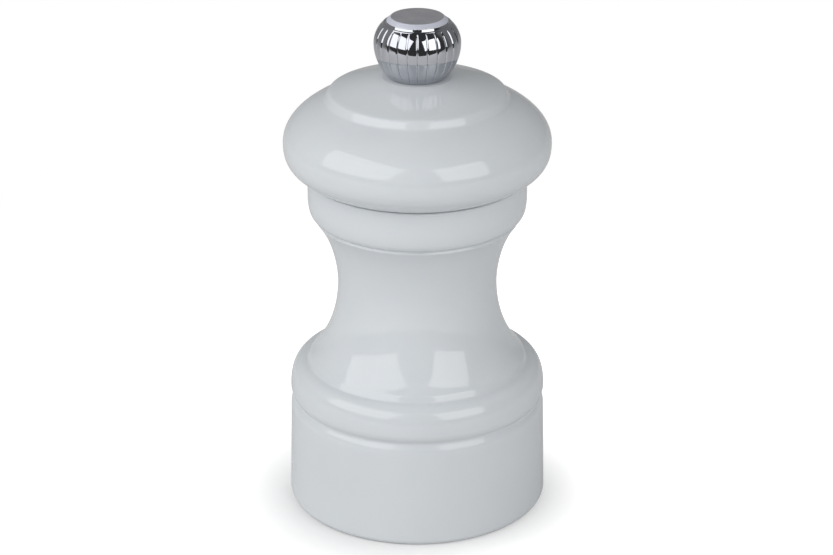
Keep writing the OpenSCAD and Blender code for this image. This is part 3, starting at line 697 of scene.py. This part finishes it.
@dataclass
class MillBody:
    """The turned body: foot band, groove, round shoulder with a step, waist, and the collar under the head.

    Radii end in _r, heights over the table in _z, and heights of a part in _h. The pairs at the end of a
    curve are the reach of its handle across and up.
    """

    # Band, groove and shoulder
    base_r: float = 25.6
    band_r: float = 25.2
    foot_round: float = 1.3
    band_top: float = 21.5
    band_edge_round: float = 2.5
    groove_depth: float = 0.85
    groove_w: float = 0.4
    groove_soft: float = 0.38
    shoulder_lip_round: float = 1.9
    shoulder_top_r: float = 21.82
    shoulder_top: float = 29.15
    shoulder_rise: float = 0.76
    ledge: tuple[float, float] = (1.97, 0.2)
    nose_r: float = 21.22
    nose_z: float = 30.35
    step_soft: float = 0.22
    # Waist and neck: heights in neck_start and neck_end are shares of the neck's height
    flare: tuple[float, float] = (2.4, 1.97)
    waist_drop: float = 7.84
    waist_z: float = 46.0
    waist_r: float = 15.6
    neck_h: float = 13.4
    neck_start: float = 0.08
    neck_end: tuple[float, float] = (4.05, 0.39)
    # Collar, with a quirk under it
    lip_r: float = 19.9
    quirk_h: float = 0.6
    quirk_depth: float = 0.3
    collar_r: float = 21.3
    collar_h: float = 8.3
    collar_swell: float = 3.3
    collar_turn: float = 0.14
    collar_out: tuple[float, float] = (0.7, 0.16)
    collar_edge_round: float = 0.25
    # Hollows, and how far the lacquer is left out on the edges of mouth and recess
    recess_r: float = 20.95
    recess_depth: float = 8.0
    mechanism_bore_r: float = 15.35
    bore_top: float = 27.22
    hopper_r: float = 11.0
    hopper_z: float = 32.22
    mouth_r: float = 16.5
    mouth_z: float = 60.1
    chamfer: float = 0.5
    mouth_bare: float = 0.3
    recess_bare: float = 0.6
    edge_soft: float = 0.09
    columns: int = 224

    def outside(self) -> Array:
        """Works out the lacquered outside, from the foot's rounding up to the collar's upper edge.

        Groove and step are softened lines, and shoulder, waist and collar are cubic curves between them. An
        arc of radius q that cuts d deep turns by the angle whose cosine is 1 - d / q.

        Returns:
            Outline of radius and height, of shape (n, 2).
        """
        waist_z, lip_z = self.waist_z, self.waist_z + self.neck_h
        collar_z = lip_z + self.quirk_h
        top = collar_z + self.collar_h
        rounds = (self.band_edge_round, self.shoulder_lip_round)
        edge, lip = (math.degrees(math.acos(1 - self.groove_depth / q)) for q in rounds)
        edge_z = self.band_top - self.band_edge_round * math.sin(math.radians(edge))
        shoulder_foot = self.band_top + self.groove_w + self.shoulder_lip_round * math.sin(math.radians(lip))
        quirk = (self.lip_r - self.quirk_depth, collar_z - self.quirk_h / 3)
        swell = self.collar_swell * self.collar_turn
        edge_round = self.collar_edge_round
        groove = np.vstack(
            [
                arc((self.band_r - self.band_edge_round, edge_z), self.band_edge_round, 0, edge),
                arc((self.band_r - self.shoulder_lip_round, shoulder_foot), self.shoulder_lip_round, -lip, 0),
            ]
        )
        shoulder = np.vstack(
            [
                groove[-1:],
                cubic(
                    (self.band_r, shoulder_foot),
                    (self.band_r, shoulder_foot + self.shoulder_rise * (self.shoulder_top - shoulder_foot)),
                    (self.shoulder_top_r + self.ledge[0], self.shoulder_top - self.ledge[1]),
                    (self.shoulder_top_r, self.shoulder_top),
                ),
                [(self.nose_r, self.nose_z)],
                cubic(
                    (self.nose_r, self.nose_z),
                    (self.nose_r - self.flare[0], self.nose_z + self.flare[1]),
                    (self.waist_r, waist_z - self.waist_drop),
                    (self.waist_r, waist_z),
                ),
            ]
        )
        return np.vstack(
            [
                arc((self.base_r - self.foot_round, self.foot_round), self.foot_round, -90, 0),
                soften(groove, self.groove_soft),
                soften(shoulder, self.step_soft),
                cubic(
                    (self.waist_r, waist_z),
                    (self.waist_r, waist_z + self.neck_h * self.neck_start),
                    (self.lip_r - self.neck_end[0], lip_z - self.neck_h * self.neck_end[1]),
                    (self.lip_r, lip_z),
                ),
                [quirk],
                cubic(
                    quirk,
                    (self.lip_r + self.collar_out[0], collar_z + swell),
                    (self.collar_r - self.collar_out[1], collar_z + swell),
                    (self.collar_r, collar_z + self.collar_swell),
                ),
                arc((self.collar_r - edge_round, top - edge_round), edge_round, 0, 90),
            ]
        )

    def build(self, finish: bpy.types.Material) -> bpy.types.Object:
        """Makes the body as one closed turned shell, lacquered outside and bare in its bores.

        Args:
            finish: Material of the wood.

        Returns:
            The body.
        """
        outside = self.outside()
        top = outside[-1, 1]
        foot_mid = ((self.recess_r + self.chamfer + self.base_r - self.foot_round) / 2, 0.0)
        inside = [
            (self.mouth_r, top - self.chamfer),
            (self.mouth_r, self.mouth_z),
            (self.hopper_r, self.mouth_z),
            (self.hopper_r, self.hopper_z),
            (self.mechanism_bore_r, self.bore_top),
            (self.mechanism_bore_r, self.recess_depth),
            (self.recess_r, self.recess_depth),
        ]
        outline = Outline().add([foot_mid]).add(outside)
        outline.add([(self.mouth_r + self.chamfer, top)], self.mouth_bare)
        outline.add(inside, BARE).add([(self.recess_r, self.chamfer)], self.recess_bare)
        outline.add([(self.recess_r + self.chamfer, 0.0), foot_mid])
        rows, bare = outline.rows(self.edge_soft)
        body = revolve("turned_body", rows[:-1], self.columns, closed=True, masks={"bare": bare[:-1]})
        dress(body, finish)
        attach(body, "body")
        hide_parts("mill_body")
        return body


@dataclass
class MillHead:
    """The turned head: a flat ring that runs on the collar, a round belly, a disc and a low dome on top."""

    # Ring, belly and the round above it, with the reach of the curves' handles
    under_z: float = 68.4
    under_r: float = 20.6
    bevel_w: float = 0.8
    bevel_h: float = 0.12
    head_r: float = 25.9
    belly_h: float = 6.6
    under_sweep: tuple[float, float] = (0.4, 0.315)
    belly_sweep: float = 0.38
    round_h: float = 15.2
    round_rise: float = 0.6
    round_end: tuple[float, float] = (1.2, 0.7)
    # Disc and dome: slopes of the dome at its two ends in degrees, and the reach of its handles
    disc_foot_r: float = 17.8
    disc_r: float = 17.25
    disc_edge_h: float = 1.5
    disc_soft: float = 0.3
    dome_h: float = 3.05
    dome_slopes: tuple[float, float] = (16.0, 12.0)
    dome_handle: float = 3.5
    # Seat of the knob, bore and spigot, and how far the lacquer is left out on the ring and at the seat
    seat_r: float = 6.8
    glide_seat_r: float = 4.95
    glide_depth: float = 0.5
    bore_r: float = 3.886
    spigot_r: float = 16.4
    spigot_len: float = 7.0
    chamfer: float = 0.5
    ring_bare: float = 0.4
    seat_bare: float = 0.2
    edge_soft: float = 0.09
    columns: int = 224

    def outside(self) -> Array:
        """Works out the lacquered outside, from the ring under the head up to the seat of the knob.

        Three cubic curves in a row; the corners around the disc's edge are softened.

        Returns:
            Outline of radius and height, of shape (n, 2).
        """
        belly_z = self.under_z + self.belly_h
        disc_foot_z = self.under_z + self.round_h
        disc_z = disc_foot_z + self.disc_edge_h
        top = disc_z + self.dome_h
        bevel = (self.under_r + self.bevel_w, self.under_z + self.bevel_h)
        low, high = (
            self.dome_handle * np.array([math.cos(a), math.sin(a)])
            for a in map(math.radians, self.dome_slopes)
        )
        upper = np.vstack(
            [
                cubic(
                    (self.head_r, belly_z),
                    (self.head_r, belly_z + (self.round_h - self.belly_h) * self.round_rise),
                    (self.disc_foot_r + self.round_end[0], disc_foot_z - self.round_end[1]),
                    (self.disc_foot_r, disc_foot_z),
                ),
                cubic(
                    (self.disc_r, disc_z),
                    (self.disc_r - low[0], disc_z + low[1]),
                    (self.seat_r + high[0], top - high[1]),
                    (self.seat_r, top),
                ),
            ]
        )
        return np.vstack(
            [
                [(self.under_r, self.under_z), bevel],
                cubic(
                    bevel,
                    (self.head_r - self.under_sweep[0], self.under_z + self.belly_h * self.under_sweep[1]),
                    (self.head_r, belly_z - self.belly_h * self.belly_sweep),
                    (self.head_r, belly_z),
                ),
                soften(upper, self.disc_soft),
            ]
        )

    def build(self, finish: bpy.types.Material) -> bpy.types.Object:
        """Makes the head as one closed turned shell, lacquered outside, bare on its spigot and in its bore.

        Args:
            finish: Material of the wood.

        Returns:
            The head.
        """
        outside = self.outside()
        top = outside[-1, 1]
        end = self.under_z - self.spigot_len
        ring_mid = ((self.under_r + self.spigot_r) / 2, self.under_z)
        inside = [
            (self.glide_seat_r, top - self.glide_depth),
            (self.bore_r, top - self.glide_depth),
            (self.bore_r, end),
            (self.spigot_r - self.chamfer, end),
            (self.spigot_r, end + self.chamfer),
            (self.spigot_r, self.under_z),
        ]
        outline = Outline().add([ring_mid], self.ring_bare).add(outside)
        outline.add([(self.glide_seat_r, top)], self.seat_bare)
        outline.add(inside, BARE).add([ring_mid], self.ring_bare)
        rows, bare = outline.rows(self.edge_soft)
        head = revolve("turned_head", rows[:-1], self.columns, closed=True, masks={"bare": bare[:-1]})
        dress(head, finish)
        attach(head, "head")
        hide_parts("mill_head")
        return head


# ---------------------------------------------------------------- knob

# Mask of the disc's bevel, which gets a painted highlight: a paler colour for the light that falls on it
PAINTED_HIGHLIGHT = 1.0


@dataclass
class GrindKnob:
    """The knob that sets the grind: a fluted chromed barrel, open below for its thread, under a disc."""

    # Barrel, and the lip and polished collar of its rim
    foot_z: float = 88.2
    height: float = 11.8
    radius: float = 8.33
    belly_h: float = 6.6
    foot_r: float = 5.6
    rim_r: float = 6.6
    lip_round: float = 0.2
    lip_turn: tuple[float, float] = (35.0, 150.0)
    lip_sink: float = 0.02
    collar_foot_r: float = 6.14
    collar_foot_h: float = 0.1
    collar_h: float = 0.6
    collar_top_w: float = 0.03
    # Disc
    disc_r: float = 5.88
    disc_t: float = 1.4
    disc_rise: float = 1.33
    disc_bevel_w: float = 0.82
    disc_bevel_h: float = 0.73
    disc_gap: float = 0.02
    disc_edge_w: float = 0.04
    disc_soft: float = 0.05
    disc_columns: int = 160
    # Bore for the thread bush
    bush_r: float = 3.62
    bush_len: float = 8.0
    bore_r: float = 2.55
    bore_depth: float = 9.8
    # Flute lines: they fade in from fade_in's first value over the foot, within its second, and out within
    # fade_out's second value up to its first over line_top. A radius within skin of the foot's is outside.
    flutes: int = 26
    columns_per_flute: int = 24
    line_w: float = 0.25
    line_depth: float = 0.14
    line_top: float = 10.3
    fade_in: tuple[float, float] = (0.1, 0.5)
    fade_out: tuple[float, float] = (0.15, 0.35)
    skin: float = 0.05
    crown: float = 0.02
    edge_soft: float = 0.06

    def flute_relief(self, angle: Array, rows: Array) -> Array:
        """Change of radius that cuts the flute lines and crowns the panels between them.

        With t the place across a panel, from -1/2 to 1/2, the panel falls by crown times (2 t) squared, and
        each line takes line_depth times a bell curve of its width away. Both fade out at the foot and where
        the lines end below the rim, and nothing is cut inside the knob.

        Args:
            angle: Angles about the axis, of shape (1, columns).
            rows: Radius and height of the outline, of shape (n, 1, 2).

        Returns:
            Change of radius, of shape (n, columns).
        """
        turn = angle * self.flutes / (2 * math.pi) + self.flutes / 4 + 0.5
        t = turn - np.round(turn)
        across = (0.5 - np.abs(t)) * 2 * math.pi * self.radius / self.flutes
        cut = self.crown * (2 * t) ** 2 + self.line_depth * np.exp(-((across / (0.5 * self.line_w)) ** 2))
        r, z = rows[..., 0], rows[..., 1] - self.foot_z
        rise = np.clip((z - self.fade_in[0]) / self.fade_in[1], 0, 1)
        fall = np.clip((self.line_top + self.fade_out[0] - z) / self.fade_out[1], 0, 1)
        outer = r > self.foot_r - self.skin
        fade = rise**2 * (3 - 2 * rise) * fall**2 * (3 - 2 * fall) * outer
        return -cut * fade

    def belly(self, edge_r: float, rise: float) -> tuple[float, float]:
        """Finds the arc with an upright tangent at the belly that meets an edge.

        With R the belly's radius, e the edge's and h the height between them, the centre stands at
        (R squared - e squared - h squared) / (2 (R - e)) from the axis.

        Args:
            edge_r: Radius of the knob at the edge.
            rise: Height between belly and edge.

        Returns:
            Distance of the arc's centre from the axis, and its radius.
        """
        c = (self.radius**2 - edge_r**2 - rise**2) / (2 * (self.radius - edge_r))
        return c, self.radius - c

    def build(self, chrome: bpy.types.Material, satin: bpy.types.Material) -> list[bpy.types.Object]:
        """Makes the fluted barrel, of chrome, and the satin disc on its top, and returns both."""
        return [self.barrel(chrome), self.disc(satin)]

    def barrel(self, chrome: bpy.types.Material) -> bpy.types.Object:
        """Makes the barrel: bore, foot, two arcs that meet at the belly, lip, collar and the disc's socket.

        Args:
            chrome: Its material.

        Returns:
            The barrel.
        """
        top = self.foot_z + self.height
        rim_z, seat_z, belly_z = top - self.disc_rise, top - self.disc_t, self.foot_z + self.belly_h
        low_c, low_r = self.belly(self.foot_r, self.belly_h)
        top_c, top_r = self.belly(self.rim_r, rim_z - belly_z)
        low_a = math.degrees(math.asin(self.belly_h / low_r))
        top_a = math.degrees(math.asin((rim_z - belly_z) / top_r))
        bore_top, bush_top = self.foot_z + self.bore_depth, self.foot_z + self.bush_len
        socket_r, collar_z = self.disc_r + self.disc_gap, rim_z + self.collar_h
        lip = (self.rim_r - self.lip_round, rim_z - self.lip_sink)
        outline = Outline().add([(0.0, bore_top), (self.bore_r, bore_top)])
        outline.add([(self.bore_r, bush_top), (self.bush_r, bush_top)])
        outline.add([(self.bush_r, self.foot_z), (self.foot_r, self.foot_z)])
        outline.add(arc((low_c, belly_z), low_r, -low_a, 0, 60))
        outline.add(arc((top_c, belly_z), top_r, 0, top_a, 40))
        outline.add(arc(lip, self.lip_round, *self.lip_turn, 12))
        outline.add([(self.collar_foot_r, rim_z + self.collar_foot_h)])
        outline.add([(socket_r + self.collar_top_w, collar_z), (socket_r, collar_z)])
        outline.add([(socket_r, seat_z), (0.0, seat_z)])
        rows, _ = outline.rows(self.edge_soft, turn=6.0, reach=0.4)
        columns = self.flutes * self.columns_per_flute
        barrel = revolve("fluted_barrel", rows, columns, relief=self.flute_relief)
        dress(barrel, chrome)
        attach(barrel, "knob")
        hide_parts("grind_knob")
        return barrel

    def disc(self, satin: bpy.types.Material) -> bpy.types.Object:
        """Makes the disc: a flat face with a bevel around it, painted paler as a painted highlight, and an
        upright edge in its socket.

        Args:
            satin: Its material.

        Returns:
            The disc.
        """
        top = self.foot_z + self.height
        seat_z, bevel_z, face_r = top - self.disc_t, top - self.disc_bevel_h, self.disc_r - self.disc_bevel_w
        face = Outline().add([(0.0, seat_z), (self.disc_r, seat_z)])
        face.add([(self.disc_r, bevel_z), (face_r, top)], PAINTED_HIGHLIGHT)
        face.add([(face_r - self.disc_edge_w, top), (0.0, top)])
        # The bevel's rows carry the mask of the painted highlight
        rows, cut = face.rows(self.disc_soft, turn=6.0, reach=0.6)
        disc = revolve("knob_disc", rows, self.disc_columns, masks={"painted_bevel_highlight": cut})
        dress(disc, satin)
        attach(disc, "knob")
        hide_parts("knob_top_disc")
        return disc


# ---------------------------------------------------------------- mechanism


@dataclass
class Mechanism:
    """The metal works: drive plate, square shaft, spring, rotor and stator, holder, bridge and screws."""

    spring_r: float = 4.4
    spring_low: float = 17.72
    spring_high: float = 22.65
    wire_r: float = 0.35
    wire_sides: int = 12
    coils: float = 4.0
    steps_per_coil: int = 40
    end_flatness: float = 0.75
    finishes: dict[str, str] = field(
        default_factory=lambda: {
            "knob_thread_bush": "brass",
            "guide_bush": "brass",
            "knob_glide_washer": "nylon",
            "drive_plate": "zinc",
            "drive_plate_screws": "zinc",
            "spring_seat": "zinc",
            "rotor_washer": "zinc",
            "rotor_nut": "zinc",
            "burr_holder": "zinc",
            "bridge_bar": "zinc",
            "bridge_rivets": "zinc",
            "mechanism_screws": "zinc",
            "drive_shaft": "drawn",
            "shaft_stop_clip": "spring",
            "rotor_burr": "burr",
            "stator_ring": "burr",
        }
    )

    def build(self, materials: Mapping[str, bpy.types.Material]) -> list[bpy.types.Object]:
        """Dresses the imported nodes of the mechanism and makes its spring.

        Args:
            materials: Materials by the short names that finishes uses.

        Returns:
            The pieces.
        """
        pieces = []
        for node, finish in self.finishes.items():
            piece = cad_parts[node]
            dress(piece, materials[finish])
            pieces.append(piece)
        pieces.append(self.spring(materials["spring"]))
        return pieces

    def spring(self, steel: bpy.types.Material) -> bpy.types.Object:
        """Makes the spring: a round wire along a helix whose pitch eases out to flat end coils.

        The wire's centre is (R cos a, R sin a, z), where the share s of the length gives z as s less
        end_flatness times sin(2 pi s) / (2 pi). The wire's section lies in the plane of the outward direction
        and +Z, and flat caps close its ends.

        Args:
            steel: Material of the wire.

        Returns:
            The spring, which runs from spring_low up to spring_high.
        """
        s = np.linspace(0.0, 1.0, int(self.coils * self.steps_per_coil) + 1)
        a = 2 * math.pi * self.coils * s
        low, high = self.spring_low + self.wire_r, self.spring_high - self.wire_r
        ease = s - self.end_flatness * np.sin(2 * math.pi * s) / (2 * math.pi)
        z = low + (high - low) * ease
        b = np.linspace(0.0, 2 * math.pi, self.wire_sides, endpoint=False)
        size = np.concatenate([[0.0], np.full(len(s), self.wire_r), [0.0]])
        a, z = (np.concatenate([v[:1], v, v[-1:]]) for v in (a, z))
        r = self.spring_r + size[:, None] * np.cos(b)[None, :]
        lift = size[:, None] * np.sin(b)[None, :]
        grid = np.stack([r * np.cos(a)[:, None], r * np.sin(a)[:, None], z[:, None] + lift], axis=-1)
        spring = make_mesh("spring_wire", grid[:, ::-1])
        dress(spring, steel)
        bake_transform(spring)
        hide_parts("rotor_spring")
        return spring


# ---------------------------------------------------------------- studio


@dataclass(frozen=True)
class Softbox:
    """A rectangular softbox, seen from the mill as a patch of sky between two bearings and two elevations.

    Bearings are degrees from the camera's side towards +X, elevations degrees above the level.
    """

    name: str
    bearings: tuple[float, float]
    elevations: tuple[float, float]
    radiance: float
    distance: float = 0.5

    def hang(self, aim: Vector) -> bpy.types.Object:
        """Hangs the softbox at its distance, facing the aim.

        Args:
            aim: Point that it faces.

        Returns:
            The lamp.
        """
        bearing, elevation = (math.radians(sum(pair) / 2) for pair in (self.bearings, self.elevations))
        level = math.cos(elevation)
        way = Vector((math.sin(bearing) * level, -math.cos(bearing) * level, math.sin(elevation)))
        width, height = (
            2 * self.distance * math.tan(math.radians(abs(pair[1] - pair[0]) / 2))
            for pair in (self.bearings, self.elevations)
        )
        data = bpy.data.lights.new(self.name, "AREA")
        data.shape, data.size, data.size_y = "RECTANGLE", width, height
        data.energy = self.radiance * math.pi * width * height
        lamp = bpy.data.objects.new(self.name, data)
        lamp.location = aim + way * self.distance
        lamp.rotation_euler = way.to_track_quat("Z", "Y").to_euler()
        lamp.visible_camera = False
        bpy.context.scene.collection.objects.link(lamp)
        return lamp


@dataclass(frozen=True)
class Sky:
    """Brightness of the surroundings, where 1 is white.

    Left is the side of -X and right that of +X; rear is behind the mill, front before it and top overhead.
    """

    rear_left: float
    rear_right: float
    front_left: float
    front_right: float
    top: float


@dataclass
class Studio:
    """Camera, softboxes, pale floor and white surroundings."""

    # Camera: place, angle below the level in degrees, lens and sensor in millimetres, reach in metres
    camera_at: tuple[float, float, float] = (-0.16, -500.0, 265.44)
    camera_down: float = 23.69
    lens: float = 119.9
    sensor: float = 36.0
    sight: tuple[float, float] = (0.01, 20.0)
    # Lamps, all aimed at one height on the axis
    aim_z: float = 60.0
    softboxes: tuple[Softbox, ...] = (
        Softbox("softbox_left", (-24.0, -86.0), (10.0, 55.0), 1.82),
        Softbox("softbox_right", (21.0, 61.0), (7.0, 48.0), 2.1),
    )
    # Surroundings: what mirrors and what soft light sees. The spans are shares of a direction along +X and
    # +Y, and degrees above the level, between which one brightness turns into the next.
    mirrored: Sky = Sky(0.3, 0.22, 0.05, 0.05, 0.05)
    ambient: Sky = Sky(0.7, 0.4, 0.58, 0.33, 0.18)
    side_span: tuple[float, float] = (-0.3, 0.5)
    rear_span: tuple[float, float] = (-0.25, 0.2)
    top_span: tuple[float, float] = (48.0, 66.0)
    # Table: its extent, matt finish, the light added for the camera, the opening and the fade to white
    floor_front: float = -310.0
    floor_back: float = 1600.0
    floor_side: float = 1200.0
    floor_colour: str = "E6E6E6"
    floor_roughness: float = 0.9
    floor_lift: tuple[float, float] = (0.07, 0.42)
    lift_from: float = 25.5
    lift_to: float = 37.5
    lift_right: float = 0.16
    lift_back: float = 0.24
    open_r: float = 24.2
    fade_from: float = 90.0
    fade_to: float = 190.0

    def build(self) -> None:
        """Sets up the whole studio."""
        self.set_camera()
        for box in self.softboxes:
            box.hang(Vector((0.0, 0.0, self.aim_z * MM)))
        self.set_world()
        self.lay_floor()
        bpy.context.scene.view_settings.view_transform = "Standard"

    def set_camera(self) -> None:
        """Places the camera."""
        data = bpy.data.cameras.new("camera")
        data.lens, data.sensor_width = self.lens, self.sensor
        data.clip_start, data.clip_end = self.sight
        camera = bpy.data.objects.new("camera", data)
        camera.location = Vector(self.camera_at) * MM
        camera.rotation_euler = (math.radians(90.0 - self.camera_down), 0.0, 0.0)
        bpy.context.scene.collection.objects.link(camera)
        bpy.context.scene.camera = camera

    def set_world(self) -> None:
        """Makes the surroundings: white to the camera, and two skies for mirrors and for soft light.

        The brightness follows the direction d. It goes smoothly from left to right as d's share along +X goes
        through side_span, from front to rear as its share along +Y goes through rear_span, and on to the
        top's brightness as d rises through top_span.
        """
        world = bpy.data.worlds.new("studio")
        world.use_nodes = True
        tree = world.node_tree
        tree.nodes.clear()
        way = add_node(tree, "TexCoord").outputs["Generated"]
        part = add_node(tree, "SeparateXYZ", links={0: way}).outputs
        heights = [math.sin(math.radians(angle)) for angle in self.top_span]
        spans = zip("XYZ", (self.side_span, self.rear_span, heights))
        ramps = ((axis, {"From Min": low, "From Max": top, **SMOOTH}) for axis, (low, top) in spans)
        side, rear, high = (
            add_node(tree, "MapRange", ramp, {"Value": part[axis]}).outputs[0] for axis, ramp in ramps
        )
        levels = []
        for sky in (self.ambient, self.mirrored):
            front, back = (
                add_node(tree, "Mix", {2: left, 3: right}, {0: side}).outputs[0]
                for left, right in ((sky.front_left, sky.front_right), (sky.rear_left, sky.rear_right))
            )
            ring = add_node(tree, "Mix", links={0: rear, 2: front, 3: back}).outputs[0]
            levels.append(add_node(tree, "Mix", {3: sky.top}, {0: high, 2: ring}).outputs[0])
        path = add_node(tree, "LightPath").outputs
        rays = {0: path["Is Glossy Ray"], 1: path["Is Transmission Ray"]}
        mirror = add_node(tree, "Math", {"operation": "MAXIMUM"}, rays).outputs[0]
        lit = add_node(tree, "Mix", links={0: mirror, 2: levels[0], 3: levels[1]}).outputs[0]
        strength = add_node(tree, "Mix", {3: 1.0}, {0: path["Is Camera Ray"], 2: lit}).outputs[0]
        back = add_node(tree, "Background", {"Color": WHITE}, {"Strength": strength})
        out = add_node(tree, "OutputWorld")
        tree.links.new(back.outputs[0], out.inputs["Surface"])
        bpy.context.scene.world = world

    def lay_floor(self) -> None:
        """Lays the floor: a pale table that keeps the mill's shadow and turns to plain white away from it.

        The light added for the camera is floor_lift's first value at lift_from from the mill's axis and its
        second from lift_to on, plus up to lift_right on the side of +X and up to lift_back behind the mill,
        where less light falls. The table is open below the foot, where the mill hides it, and clear from
        below, so that the works can be seen.
        """
        x = self.floor_side
        grid = np.array([[[-x, y, 0.0], [x, y, 0.0]] for y in (self.floor_front, self.floor_back)])
        floor = make_mesh("table", grid, closed_columns=False)
        material, tree, shader = new_material("pale_table")
        place = add_node(tree, "TexCoord").outputs["Object"]
        distance = add_node(tree, "VectorMath", {"operation": "LENGTH"}, {0: place}).outputs["Value"]
        fade = {"From Min": self.fade_from * MM, "From Max": self.fade_to * MM, **SMOOTH}
        far = add_node(tree, "MapRange", fade, {"Value": distance}).outputs[0]
        shader.inputs["Base Color"].default_value = linear(self.floor_colour)
        shader.inputs["Roughness"].default_value = self.floor_roughness
        shader.inputs["Specular IOR Level"].default_value = 0.0
        seen = add_node(tree, "LightPath").outputs["Is Camera Ray"]
        ramp = {
            "From Min": self.lift_from * MM,
            "From Max": self.lift_to * MM,
            "To Min": self.floor_lift[0],
            "To Max": self.floor_lift[1],
        }
        lift = add_node(tree, "MapRange", ramp, {"Value": distance}).outputs[0]
        planar = add_node(tree, "SeparateXYZ", links={0: place}).outputs
        edge = self.lift_from * MM
        for axis, most in (("X", self.lift_right), ("Y", self.lift_back)):
            across = {"From Min": -edge, "From Max": edge, "To Max": most, **SMOOTH}
            more = add_node(tree, "MapRange", across, {"Value": planar[axis]}).outputs[0]
            lift = add_node(tree, "Math", {"operation": "ADD"}, {0: lift, 1: more}).outputs[0]
        glow = add_node(tree, "Math", {"operation": "MULTIPLY"}, {0: lift, 1: seen}).outputs[0]
        shader.inputs["Emission Color"].default_value = WHITE
        tree.links.new(glow, shader.inputs["Emission Strength"])
        white = add_node(tree, "Emission", {"Strength": 1.0})
        away = add_node(tree, "Math", {"operation": "MULTIPLY"}, {0: far, 1: seen}).outputs[0]
        top = add_node(tree, "MixShader", links={0: away, 1: shader.outputs[0], 2: white.outputs[0]})
        clear = add_node(tree, "BsdfTransparent")
        under = add_node(tree, "NewGeometry").outputs["Backfacing"]
        opening = {"operation": "LESS_THAN", 1: self.open_r * MM}
        hole = add_node(tree, "Math", opening, {0: distance}).outputs[0]
        gone = add_node(tree, "Math", {"operation": "MAXIMUM"}, {0: under, 1: hole}).outputs[0]
        through = add_node(tree, "MixShader", links={0: gone, 1: top.outputs[0], 2: clear.outputs[0]})
        out = next(n for n in tree.nodes if n.type == "OUTPUT_MATERIAL")
        tree.links.new(through.outputs[0], out.inputs["Surface"])
        dress(floor, material)


def main() -> None:
    """Builds every sub-assembly in order, reports each piece and sets up the studio."""
    logging.basicConfig(level=logging.INFO, format="%(name)s: %(message)s")
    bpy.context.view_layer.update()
    wood = Lacquer().material()
    metals = {
        "brass": BRASS.material(),
        "zinc": ZINC_STEEL.material(),
        "drawn": DRAWN_STEEL.material(),
        "spring": SPRING_STEEL.material(),
        "burr": BURR_STEEL.material(),
        "nylon": Nylon().material(),
    }
    made = [MillBody().build(wood), MillHead().build(wood)]
    made += GrindKnob().build(CHROME.material(), SATIN_DISC.material())
    made += Mechanism().build(metals)
    for piece in made:
        LOG.info("%s: %d faces", piece.name, len(piece.data.polygons))
    Studio().build()


if __name__ == "__main__":
    main()
